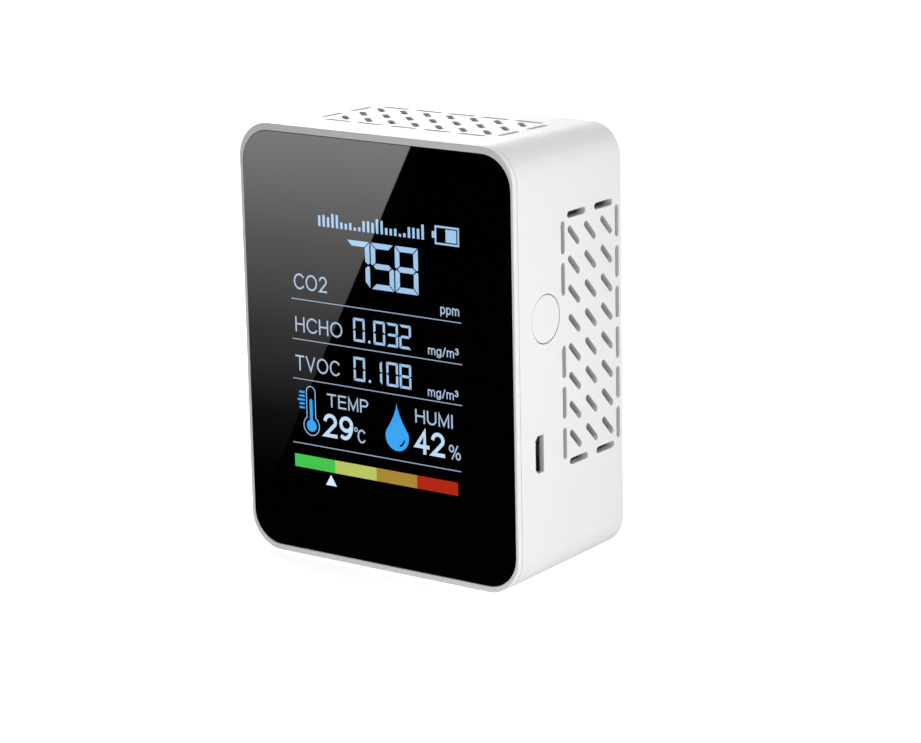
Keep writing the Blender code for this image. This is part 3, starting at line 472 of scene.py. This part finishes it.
def soften(node, shading, edge_width=0.0):
    """Joins a CAD mesh's triangles into whole faces, rounds its sharp edges and shades it smooth."""
    weld = node.modifiers.new("join_vertices", "WELD")
    weld.merge_threshold = 0.001 * MM
    plain = node.modifiers.new("join_flat_faces", "DECIMATE")
    plain.decimate_type = "DISSOLVE"
    plain.angle_limit = math.radians(0.3)
    if edge_width:
        bevel = node.modifiers.new("round_edges", "BEVEL")
        bevel.limit_method = "ANGLE"
        bevel.angle_limit = math.radians(50)
        bevel.width = edge_width
        bevel.segments = 2
        bevel.use_clamp_overlap = True
    smooth = node.modifiers.new("shade_smooth", "NODES")
    smooth.node_group = shading
    flat = node.modifiers.new("keep_large_faces_flat", "WEIGHTED_NORMAL")
    flat.mode = "FACE_AREA"
    flat.weight = 50
    flat.keep_sharp = True


def finish_cad_nodes(by_slot):
    """Gives each CAD node the finish of its material slot, whole faces and soft edges."""
    shading = smooth_group()
    for name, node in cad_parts.items():
        for slot in node.material_slots:
            slot.material = by_slot[slot.material.name.split(".")[0]]
        soften(node, shading, SOFT_EDGES.get(name, 0.0))


# ---------------------------------------------------------------- display graphics

# Artwork is drawn flat, in millimetres about its own origin. The origin goes just in front of the window, at
# the middle of the case across and up.
window_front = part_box("front_window")[0].y
ARTWORK_ORIGIN = (cad_box[0] + cad_box[1]) / 2
ARTWORK_ORIGIN.y = window_front - INK_GAP - INK_THICKNESS / 2


def onto_window(data):
    """Stands flat artwork upright in front of the window."""
    upright = Matrix.Rotation(math.radians(90), 4, "X")
    data.transform(Matrix.Translation(ARTWORK_ORIGIN) @ upright @ Matrix.Diagonal((MM, MM, 1.0, 1.0)))


def as_piece(name, data, material):
    """Puts artwork in front of the window, as a piece that rides on the case."""
    onto_window(data)
    data.materials.clear()
    data.materials.append(material)
    piece = bpy.data.objects.new(name, data)
    bpy.context.scene.collection.objects.link(piece)
    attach(piece, "case")
    return piece


def artwork(name, outlines, material):
    """A display piece from closed outlines in millimetres; an outline inside another is a hole."""
    curve = bpy.data.curves.new(name, "CURVE")
    curve.dimensions = "2D"
    curve.fill_mode = "BOTH"
    curve.extrude = INK_THICKNESS / 2
    for outline in outlines:
        spline = curve.splines.new("POLY")
        spline.points.add(len(outline) - 1)
        for point, (x, y) in zip(spline.points, outline):
            point.co = (x, y, 0.0, 1.0)
        spline.use_cyclic_u = True
    source = bpy.data.objects.new(name + "_source", curve)
    bpy.context.scene.collection.objects.link(source)
    evaluated = source.evaluated_get(bpy.context.evaluated_depsgraph_get())
    data = bpy.data.meshes.new_from_object(evaluated)
    bpy.data.objects.remove(source)
    return as_piece(name, data, material)


def arc(x, y, wide, tall, start, stop, steps=16):
    """Points along an elliptical arc, with its ends at two angles in degrees."""
    angles = [math.radians(start + (stop - start) * i / steps) for i in range(steps + 1)]
    return [(x + wide * math.cos(a), y + tall * math.sin(a)) for a in angles]


# Centre lines of plain letters and figures: width, and paths. Capitals are one unit tall.
LETTERS = {
    "C": (0.74, [arc(0.42, 0.5, 0.42, 0.5, 42, 318, 24)]),
    "O": (0.86, [arc(0.43, 0.5, 0.43, 0.5, 0, 360, 28)]),
    "2": (0.56, [arc(0.28, 0.71, 0.27, 0.29, 165, -28, 16) + [(0.0, 0.0), (0.56, 0.0)]]),
    "H": (0.64, [[(0.0, 0.0), (0.0, 1.0)], [(0.64, 0.0), (0.64, 1.0)], [(0.0, 0.52), (0.64, 0.52)]]),
    "T": (0.66, [[(0.0, 1.0), (0.66, 1.0)], [(0.33, 1.0), (0.33, 0.0)]]),
    "V": (0.70, [[(0.0, 1.0), (0.35, 0.0), (0.70, 1.0)]]),
    "E": (0.56, [[(0.56, 1.0), (0.0, 1.0), (0.0, 0.0), (0.56, 0.0)], [(0.0, 0.53), (0.52, 0.53)]]),
    "M": (0.72, [[(0.0, 0.0), (0.0, 1.0), (0.36, 0.06), (0.72, 1.0), (0.72, 0.0)]]),
    "P": (0.56, [
        [(0.0, 0.0), (0.0, 1.0), (0.30, 1.0)] + arc(0.30, 0.74, 0.26, 0.26, 75, -90, 12) + [(0.0, 0.48)],
    ]),
    "U": (0.62, [[(0.0, 1.0), (0.0, 0.34)] + arc(0.31, 0.33, 0.31, 0.33, 180, 360, 14) + [(0.62, 1.0)]]),
    "I": (0.0, [[(0.0, 0.0), (0.0, 1.0)]]),
    "p": (0.50, [[(0.0, 0.72), (0.0, -0.28)], arc(0.25, 0.36, 0.25, 0.36, 0, 360, 20)]),
    "g": (0.50, [
        [(0.50, 0.72), (0.50, -0.04)] + arc(0.25, -0.04, 0.25, 0.23, 0, -155, 10),
        arc(0.25, 0.36, 0.25, 0.36, 0, 360, 20),
    ]),
    "m": (0.80, [
        [(0.0, 0.0), (0.0, 0.72)],
        arc(0.20, 0.50, 0.20, 0.22, 180, 0, 10) + [(0.40, 0.0)],
        arc(0.60, 0.50, 0.20, 0.22, 180, 0, 10) + [(0.80, 0.0)],
    ]),
    "/": (0.30, [[(0.0, 0.0), (0.30, 1.0)]]),
    "\u00b3": (0.34, [
        arc(0.15, 0.96, 0.15, 0.15, 155, -80, 12),
        arc(0.15, 0.62, 0.19, 0.19, 80, -155, 14),
    ]),
    "%": (0.90, [
        arc(0.17, 0.76, 0.17, 0.24, 0, 360, 18),
        arc(0.73, 0.24, 0.17, 0.24, 0, 360, 18),
        [(0.22, 0.0), (0.68, 1.0)],
    ]),
    "9": (0.58, [
        arc(0.29, 0.69, 0.28, 0.31, 0, 360, 24),
        arc(0.21, 0.66, 0.36, 0.66, 4, -112, 16),
    ]),
    "4": (0.62, [[(0.45, 0.0), (0.45, 1.0), (0.0, 0.28), (0.62, 0.28)]]),
}
LETTER_GAP = 0.27


def stroke_quads(path, half):
    """Quads along a path, half wide to each side, mitred where it bends.

    A path that ends where it starts is closed. Any other gets square ends that reach out by half.
    """
    points = [Vector(point) for point in path]
    closed = (points[0] - points[-1]).length < 1e-6
    if closed:
        points.pop()
    else:
        first = (points[0] - points[1]).normalized()
        last = (points[-1] - points[-2]).normalized()
        points[0] = points[0] + first * half
        points[-1] = points[-1] + last * half
    count = len(points)
    rims = []
    for i, point in enumerate(points):
        runs = []
        if closed or i > 0:
            runs.append((point - points[i - 1]).normalized())
        if closed or i < count - 1:
            runs.append((points[(i + 1) % count] - point).normalized())
        sides = [Vector((-run.y, run.x)) for run in runs]
        mitre = sum(sides, Vector((0.0, 0.0))).normalized()
        reach = half / max(mitre.dot(sides[0]), 0.4)
        rims.append((point + mitre * reach, point - mitre * reach))
    pairs = list(zip(rims, rims[1:]))
    if closed:
        pairs.append((rims[-1], rims[0]))
    return [(a[0], a[1], b[1], b[0]) for a, b in pairs]


def merged_solid(name, quads):
    """A thin solid over the union of flat quads."""
    points = [corner for quad in quads for corner in quad]
    faces = [tuple(range(4 * i, 4 * i + 4)) for i in range(len(quads))]
    flat, _, pieces, _, _, owners = delaunay_2d_cdt(points, [], faces, 0, 1e-5)
    kept = [piece for piece, owner in zip(pieces, owners) if owner]
    count = len(flat)
    half = INK_THICKNESS / 2
    vertices = [(x, y, half) for x, y in flat] + [(x, y, -half) for x, y in flat]
    runs = {(a, b) for piece in kept for a, b in zip(piece, [*piece[1:], piece[0]])}
    walls = [(b, a, a + count, b + count) for a, b in runs if (b, a) not in runs]
    lids = [tuple(piece) for piece in kept]
    backs = [tuple(i + count for i in reversed(piece)) for piece in kept]
    data = bpy.data.meshes.new(name)
    data.from_pydata(vertices, [], lids + backs + walls)
    return data


def legend(name, text, box, weight, material):
    """Plain letters fitted to box = (left, right, low, high); weight is the width of their strokes."""
    left, right, low, high = box
    paths = []
    along = 0.0
    for character in text:
        width, strokes = LETTERS[character]
        paths += [[(along + x, y) for x, y in stroke] for stroke in strokes]
        along += width + LETTER_GAP
    xs = [x for path in paths for x, _ in path]
    ys = [y for path in paths for _, y in path]
    wide = (right - left - weight) / (max(xs) - min(xs))
    tall = (high - low - weight) / (max(ys) - min(ys))
    quads = []
    for path in paths:
        placed = [((x - min(xs)) * wide, (y - min(ys)) * tall) for x, y in path]
        placed = [(left + weight / 2 + x, low + weight / 2 + y) for x, y in placed]
        quads += stroke_quads(placed, weight / 2)
    return as_piece(name, merged_solid(name, quads), material)


def rectangle(left, right, low, high):
    """Corners of an upright rectangle."""
    return [(left, low), (right, low), (right, high), (left, high)]


def circle(x, y, radius, steps=40, start=0.0, stop=360.0):
    """Points on a round arc; a whole circle doesn't repeat its first point."""
    span = stop - start
    count = steps if abs(span) >= 360 else steps + 1
    angles = [math.radians(start + span * i / steps) for i in range(count)]
    return [(x + radius * math.cos(a), y + radius * math.sin(a)) for a in angles]


SEGMENTS_OF_DIGIT = {
    "0": "abcdef",
    "1": "bc",
    "2": "abged",
    "3": "abgcd",
    "5": "afgcd",
    "7": "abc",
    "8": "abcdefg",
}


def segment_outlines(width, height, stroke, gap):
    """Outlines of a digit's seven segments, mitred where they meet; a is the top one, g the middle one."""
    middle = height / 2
    half = stroke / 2
    low_bar = [(gap, 0), (width - gap, 0), (width - stroke - gap, stroke), (stroke + gap, stroke)]
    high_bar = [(x, height - y) for x, y in low_bar]
    left_high = [
        (0, height - gap),
        (stroke, height - stroke - gap),
        (stroke, middle + half + gap),
        (half * 0.7, middle + gap),
        (0, middle + gap + half * 0.4),
    ]
    right_high = [(width - x, y) for x, y in left_high]
    middle_bar = [
        (half * 0.9 + gap, middle),
        (stroke + gap, middle + half),
        (width - stroke - gap, middle + half),
        (width - half * 0.9 - gap, middle),
        (width - stroke - gap, middle - half),
        (stroke + gap, middle - half),
    ]
    return {
        "a": high_bar,
        "b": right_high,
        "c": [(x, height - y) for x, y in right_high],
        "d": low_bar,
        "e": [(x, height - y) for x, y in left_high],
        "f": left_high,
        "g": middle_bar,
    }


def seven_segment(name, places, low, size, stroke, gap, material):
    """A seven-segment reading; places gives each digit and its left edge, or a point and its centre."""
    width, height = size
    shapes = segment_outlines(width, height, stroke, gap)
    outlines = []
    for character, x in places:
        if character == ".":
            outlines.append(circle(x, low + stroke * 0.6, stroke * 0.6, steps=16))
            continue
        for segment in SEGMENTS_OF_DIGIT[character]:
            outlines.append([(x + px, low + py) for px, py in shapes[segment]])
    return artwork(name, outlines, material)


def drop_outline(x, low, high, radius):
    """A falling drop: a round foot drawn up to a point along two tangent curves."""
    centre = low + radius
    points = circle(x, centre, radius, steps=36, start=158, stop=382)
    shoulder = points[-1]
    steps = 14
    side = []
    for i in range(1, steps):
        t = i / steps
        reach = (shoulder[0] - x) * (1 - t) ** 1.55
        side.append((x + reach, shoulder[1] + (high - shoulder[1]) * t))
    mirrored = [(2 * x - px, py) for px, py in reversed(side)]
    return points + side + [(x, high)] + mirrored


def gleam(x, y, radius, thickness, start, stop):
    """A thin curved band."""
    outer = circle(x, y, radius + thickness / 2, steps=12, start=start, stop=stop)
    inner = circle(x, y, radius - thickness / 2, steps=12, start=stop, stop=start)
    return outer + inner


def thermometer_outline(x, bulb_y, bulb_radius, tube_half, top):
    """A tube with a round top that runs down into a round bulb."""
    opening = math.degrees(math.asin(tube_half / bulb_radius))
    bulb = circle(x, bulb_y, bulb_radius, steps=40, start=90 + opening, stop=450 - opening)
    cap = circle(x, top - tube_half, tube_half, steps=16, start=0, stop=180)
    return bulb + cap


def trend_bars(name, box, material):
    """A small row of level bars, in the place of the display's title."""
    left, right, low, high = box
    count = 24
    pitch = (right - left) / count
    outlines = []
    for i in range(count):
        wave = 0.55 + 0.28 * math.sin(i * 0.62) + 0.17 * math.sin(i * 1.9 + 1.0)
        start = left + i * pitch
        outlines.append(rectangle(start, start + pitch * 0.52, low, low + (high - low) * wave))
    return artwork(name, outlines, material)


# Widths of the display's strokes, in millimetres.
LEGEND_STROKE = 0.38
UNIT_STROKE = 0.27
PERCENT_STROKE = 0.32
BOLD_STROKE = 0.84
RULE_WIDTH = 0.2

# Seven-segment digits, in millimetres: width and height, width of a segment, and the gap between segments.
LARGE_DIGITS = ((6.05, 10.0), 1.18, 0.16)
HCHO_DIGITS = ((3.1, 5.2), 0.56, 0.09)
TVOC_DIGITS = ((3.1, 5.3), 0.56, 0.09)


def display_lights():
    """The display's lit colours, by what they are for."""
    return {
        "text": display_light("display_text_light", PALE_BLUE),
        "label": display_light("display_label_light", LABEL_BLUE),
        "rule": display_light("display_rule_light", LABEL_BLUE, 0.8),
        "bold": display_light("display_bold_light", BOLD_BLUE),
        "icon": display_light("display_icon_light", ICON_BLUE),
        "white": display_light("display_white_light", WHITE_LIGHT),
    }


def top_line(lights):
    """The row of level bars and the battery mark."""
    text = lights["text"]
    trend_bars("display_trend", (-15.0, 13.75, 26.6, 30.0), text)
    left, right, low, high = 16.0, 22.25, 26.0, 30.0
    wall = 0.4
    hollow = rectangle(left + wall, right - wall, low + wall, high - wall)
    artwork("display_battery_frame", [rectangle(left, right, low, high), hollow], text)
    artwork("display_battery_tip", [rectangle(left - 0.75, left, low + 1.3, high - 1.3)], text)
    artwork("display_battery_level", [rectangle(left + 2.8, right - 0.7, low + 0.65, high - 0.65)], text)


def gas_readings(lights):
    """Carbon dioxide, formaldehyde and organic vapour: readings, legends and units."""
    text = lights["text"]
    label = lights["label"]
    co2 = [("7", -7.4), ("5", -1.0), ("8", 5.4)]
    seven_segment("reading_co2", co2, 14.5, *LARGE_DIGITS, text)
    hcho = [("0", -6.28), (".", -2.01), ("0", -0.84), ("3", 2.61), ("2", 6.06)]
    seven_segment("reading_hcho", hcho, 2.45, *HCHO_DIGITS, text)
    tvoc = [("0", -6.47), (".", -2.16), ("1", -1.91), ("0", 2.38), ("8", 5.88)]
    seven_segment("reading_tvoc", tvoc, -6.22, *TVOC_DIGITS, text)

    legend("legend_co2", "CO2", (-22.25, -13.15, 12.1, 15.6), LEGEND_STROKE, label)
    legend("legend_hcho", "HCHO", (-22.2, -9.3, 2.65, 6.05), LEGEND_STROKE, label)
    legend("legend_tvoc", "TVOC", (-22.5, -10.35, -5.96, -2.56), LEGEND_STROKE, label)
    legend("unit_ppm", "ppm", (17.05, 21.9, 10.73, 12.83), UNIT_STROKE, label)
    legend("unit_hcho", "mg/m\u00b3", (13.6, 21.6, 1.65, 4.3), UNIT_STROKE, label)
    legend("unit_tvoc", "mg/m\u00b3", (13.3, 21.3, -7.42, -4.77), UNIT_STROKE, label)


def climate_readings(lights):
    """Temperature and humidity: legends, readings and units."""
    label = lights["label"]
    bold = lights["bold"]
    legend("legend_temperature", "TEMP", (-14.05, -2.8, -13.1, -10.1), LEGEND_STROKE, label)
    legend("legend_humidity", "HUMI", (9.8, 19.65, -13.24, -10.24), LEGEND_STROKE, label)
    legend("reading_temperature", "29", (-15.2, -7.1, -19.9, -14.6), BOLD_STROKE, bold)
    legend("reading_humidity", "42", (9.5, 17.45, -19.95, -14.65), BOLD_STROKE, bold)
    x, y = -6.35, -17.1
    artwork("unit_degree", [circle(x, y, 0.52, steps=20), circle(x, y, 0.27, steps=16)], label)
    legend("unit_celsius", "C", (-5.9, -3.85, -19.95, -16.9), LEGEND_STROKE, label)
    legend("unit_percent", "%", (18.5, 21.6, -19.95, -16.75), PERCENT_STROKE, label)


def display_rules(lights):
    """The four thin lines between the display's rows."""
    rules = ((9.9, -23.1, 22.4), (1.0, -23.1, 22.4), (-7.85, -23.3, 22.2), (-22.3, -23.9, 21.6))
    for number, (height, left, right) in enumerate(rules, start=1):
        line = rectangle(left, right, height - RULE_WIDTH / 2, height + RULE_WIDTH / 2)
        artwork(f"display_rule_{number}", [line], lights["rule"])


def thermometer(lights):
    """Outlined thermometer with its fluid, and five ticks beside it, of which the middle one is longer."""
    bulb = (-18.55, -18.0)
    outer = thermometer_outline(*bulb, 2.25, 1.3, -9.1)
    inner = thermometer_outline(*bulb, 2.05, 1.1, -9.3)
    artwork("thermometer_frame", [outer, inner], lights["text"])
    artwork("thermometer_fluid", [thermometer_outline(*bulb, 1.35, 0.4, -12.0)], lights["icon"])
    ticks = []
    for i in range(5):
        left = -22.25 if i == 2 else -21.75
        height = -10.7 - 0.87 * i
        ticks.append(rectangle(left, -20.25, height - 0.22, height + 0.22))
    artwork("thermometer_ticks", ticks, lights["icon"])


def humidity_drop(lights):
    """A drop with a curved gleam cut out of it."""
    drop = drop_outline(4.85, -20.26, -9.66, 3.12)
    artwork("humidity_drop", [drop, gleam(5.1, -17.46, 1.62, 0.4, 283, 355)], lights["icon"])


def level_strip(lights):
    """The strip of four levels, and the pointer under it."""
    splits = (-23.5, -12.3, -1.0, 9.9, 20.7)
    levels = (("green", GREEN_LIGHT), ("yellow", YELLOW_LIGHT), ("amber", AMBER_LIGHT), ("red", RED_LIGHT))
    for (colour_name, colour), left, right in zip(levels, splits, splits[1:]):
        lit = display_light(f"level_{colour_name}_light", colour)
        artwork(f"level_{colour_name}", [rectangle(left, right, -27.75, -24.85)], lit)
    artwork("level_pointer", [[(-13.55, -28.36), (-15.05, -30.76), (-12.05, -30.76)]], lights["white"])


def display_graphics():
    """Everything that the display shows."""
    lights = display_lights()
    top_line(lights)
    gas_readings(lights)
    climate_readings(lights)
    display_rules(lights)
    thermometer(lights)
    humidity_drop(lights)
    level_strip(lights)


# ---------------------------------------------------------------- studio and camera

# Brightness of the sky on the object and to the camera, of the light that a table throws back up, and of the
# floor itself.
SKY = 0.42
SKY_SEEN = 1.05
BOUNCE = 0.45
FLOOR_GLOW = 0.64

# The card that the window mirrors: its corners and the heights where its light
# starts and is full, in metres.
CARD_Y = -1.2
CARD_LEFT = -1.22
CARD_RIGHT_LOW = -1.115
CARD_RIGHT_HIGH = -0.835
CARD_LOW = -0.60
CARD_HIGH = -0.062
CARD_DARK_BELOW = -0.42
CARD_FULL_ABOVE = -0.17
CARD_BRIGHTNESS = 4.25


def paint_world():
    """White sky that is dark below the horizon; the camera sees it plain white all round."""
    world = bpy.data.worlds.new("studio")
    world.use_nodes = True
    bpy.context.scene.world = world
    tree = world.node_tree
    background = tree.nodes["Background"]
    coordinates = tree.nodes.new("ShaderNodeTexCoord")
    parts = tree.nodes.new("ShaderNodeSeparateXYZ")
    ramp = tree.nodes.new("ShaderNodeMapRange")
    ramp.inputs["From Min"].default_value = -0.02
    ramp.inputs["From Max"].default_value = 0.06
    ramp.inputs["To Min"].default_value = 0.0
    ramp.inputs["To Max"].default_value = SKY
    tree.links.new(coordinates.outputs["Generated"], parts.inputs["Vector"])
    tree.links.new(parts.outputs["Z"], ramp.inputs["Value"])
    path = tree.nodes.new("ShaderNodeLightPath")
    seen = tree.nodes.new("ShaderNodeMix")
    seen.data_type = "FLOAT"
    tree.links.new(path.outputs["Is Camera Ray"], seen.inputs["Factor"])
    tree.links.new(ramp.outputs["Result"], seen.inputs[2])
    seen.inputs[3].default_value = SKY_SEEN
    tree.links.new(seen.outputs[0], background.inputs["Strength"])
    background.inputs["Color"].default_value = (1.0, 1.0, 1.0, 1.0)


def floor():
    """Plain pale floor, kept bright by a little light of its own; the object doesn't mirror or catch it."""
    half = 6.0
    data = bpy.data.meshes.new("floor")
    corners = [(-half, -half, 0.0), (half, -half, 0.0), (half, half, 0.0), (-half, half, 0.0)]
    data.from_pydata(corners, [], [(0, 1, 2, 3)])
    material, shader = start_material("floor_finish", (0.93, 0.93, 0.93), 0.8)
    shader.inputs["Specular IOR Level"].default_value = 0.1
    shader.inputs["Emission Color"].default_value = (1.0, 1.0, 1.0, 1.0)
    shader.inputs["Emission Strength"].default_value = FLOOR_GLOW
    data.materials.append(material)
    piece = bpy.data.objects.new("floor", data)
    bpy.context.scene.collection.objects.link(piece)
    piece.visible_glossy = False
    piece.visible_diffuse = False
    piece.visible_shadow = False


def square_light(name, size, power, location, rotation, mirrored):
    """A square area light; one that isn't mirrored gives no highlights."""
    light = bpy.data.lights.new(name, "AREA")
    light.shape = "SQUARE"
    light.size = size
    light.energy = power
    lamp = bpy.data.objects.new(name, light)
    lamp.location = location
    lamp.rotation_euler = rotation
    lamp.visible_glossy = mirrored
    bpy.context.scene.collection.objects.link(lamp)


def softbox(name, direction, distance, size, brightness, mirrored):
    """A soft light that looks at the middle of the object.

    A white surface there that faces the light shows the brightness, where 1 is white.
    """
    low, high = cad_box
    towards = Vector(direction).normalized()
    location = (low + high) / 2 + towards * distance
    rotation = towards.to_track_quat("Z", "Y").to_euler()
    power = brightness * math.pi ** 2 * distance ** 2
    square_light(name, size, power, location, rotation, mirrored)


def bounce_light():
    """The light that a pale table throws back up, from a wide board under the floor."""
    size = 4.0
    power = BOUNCE * math.pi * size ** 2
    square_light("bounce_light", size, power, (0.0, 0.0, -0.5), (math.pi, 0.0, 0.0), False)


def window_card():
    """A bright card that is seen only mirrored, fading out downwards, with a slanting edge on its right."""
    data = bpy.data.meshes.new("window_card")
    corners = [
        (CARD_LEFT, CARD_Y, CARD_LOW),
        (CARD_RIGHT_LOW, CARD_Y, CARD_LOW),
        (CARD_RIGHT_HIGH, CARD_Y, CARD_HIGH),
        (CARD_LEFT, CARD_Y, CARD_HIGH),
    ]
    data.from_pydata(corners, [], [(0, 1, 2, 3)])
    material = bpy.data.materials.new("window_card_light")
    material.use_nodes = True
    tree = material.node_tree
    tree.nodes.clear()
    output = tree.nodes.new("ShaderNodeOutputMaterial")
    emission = tree.nodes.new("ShaderNodeEmission")
    coordinates = tree.nodes.new("ShaderNodeTexCoord")
    parts = tree.nodes.new("ShaderNodeSeparateXYZ")
    fade = tree.nodes.new("ShaderNodeValToRGB")
    height = tree.nodes.new("ShaderNodeMapRange")
    height.inputs["From Min"].default_value = CARD_DARK_BELOW
    height.inputs["From Max"].default_value = CARD_FULL_ABOVE
    tree.links.new(coordinates.outputs["Object"], parts.inputs["Vector"])
    tree.links.new(parts.outputs["Z"], height.inputs["Value"])
    tree.links.new(height.outputs["Result"], fade.inputs["Fac"])
    stops = fade.color_ramp.elements
    stops[0].color = (0.0, 0.0, 0.0, 1.0)
    stops[1].color = (1.0, 1.0, 1.0, 1.0)
    for position, value in ((0.2, 0.025), (0.45, 0.18), (0.7, 0.47)):
        stop = stops.new(position)
        stop.color = (value, value, value, 1.0)
    tree.links.new(fade.outputs["Color"], emission.inputs["Color"])
    emission.inputs["Strength"].default_value = CARD_BRIGHTNESS
    tree.links.new(emission.outputs["Emission"], output.inputs["Surface"])
    data.materials.append(material)
    card = bpy.data.objects.new("window_card", data)
    bpy.context.scene.collection.objects.link(card)
    card.visible_camera = False
    card.visible_diffuse = False
    card.visible_transmission = False
    card.visible_shadow = False


def camera():
    """The camera, a little above the object and to the right of its front."""
    low, high = cad_box
    data = bpy.data.cameras.new("camera")
    data.sensor_width = CAMERA_SENSOR
    data.lens = CAMERA_LENS
    data.clip_start = 0.01
    forward = Vector((
        -math.sin(CAMERA_YAW) * math.cos(CAMERA_PITCH),
        math.cos(CAMERA_YAW) * math.cos(CAMERA_PITCH),
        -math.sin(CAMERA_PITCH),
    ))
    level = Vector((math.cos(CAMERA_YAW), math.sin(CAMERA_YAW), 0.0))
    above = level.cross(forward)
    right = level * math.cos(CAMERA_ROLL) + above * math.sin(CAMERA_ROLL)
    up = above * math.cos(CAMERA_ROLL) - level * math.sin(CAMERA_ROLL)
    turn = Matrix((right, up, -forward)).transposed()
    piece = bpy.data.objects.new("camera", data)
    piece.matrix_world = Matrix.Translation((low + high) / 2 + CAMERA_OFFSET) @ turn.to_4x4()
    bpy.context.scene.collection.objects.link(piece)
    bpy.context.scene.camera = piece


def studio():
    """World, floor, lights, mirrored card and camera."""
    bpy.context.scene.view_settings.view_transform = "Standard"
    paint_world()
    floor()
    bounce_light()
    softbox("top_light", (-0.60, 0.44, 0.66), distance=0.42, size=0.25, brightness=1.00, mirrored=True)
    softbox("side_light", (0.97, -0.22, 0.03), distance=0.26, size=0.16, brightness=0.67, mirrored=False)
    softbox("table_light", (0.08, -0.38, -0.92), distance=0.20, size=0.12, brightness=0.36, mirrored=False)
    window_card()
    camera()


# ---------------------------------------------------------------- the scene

finish_cad_nodes(finishes())
display_graphics()
studio()
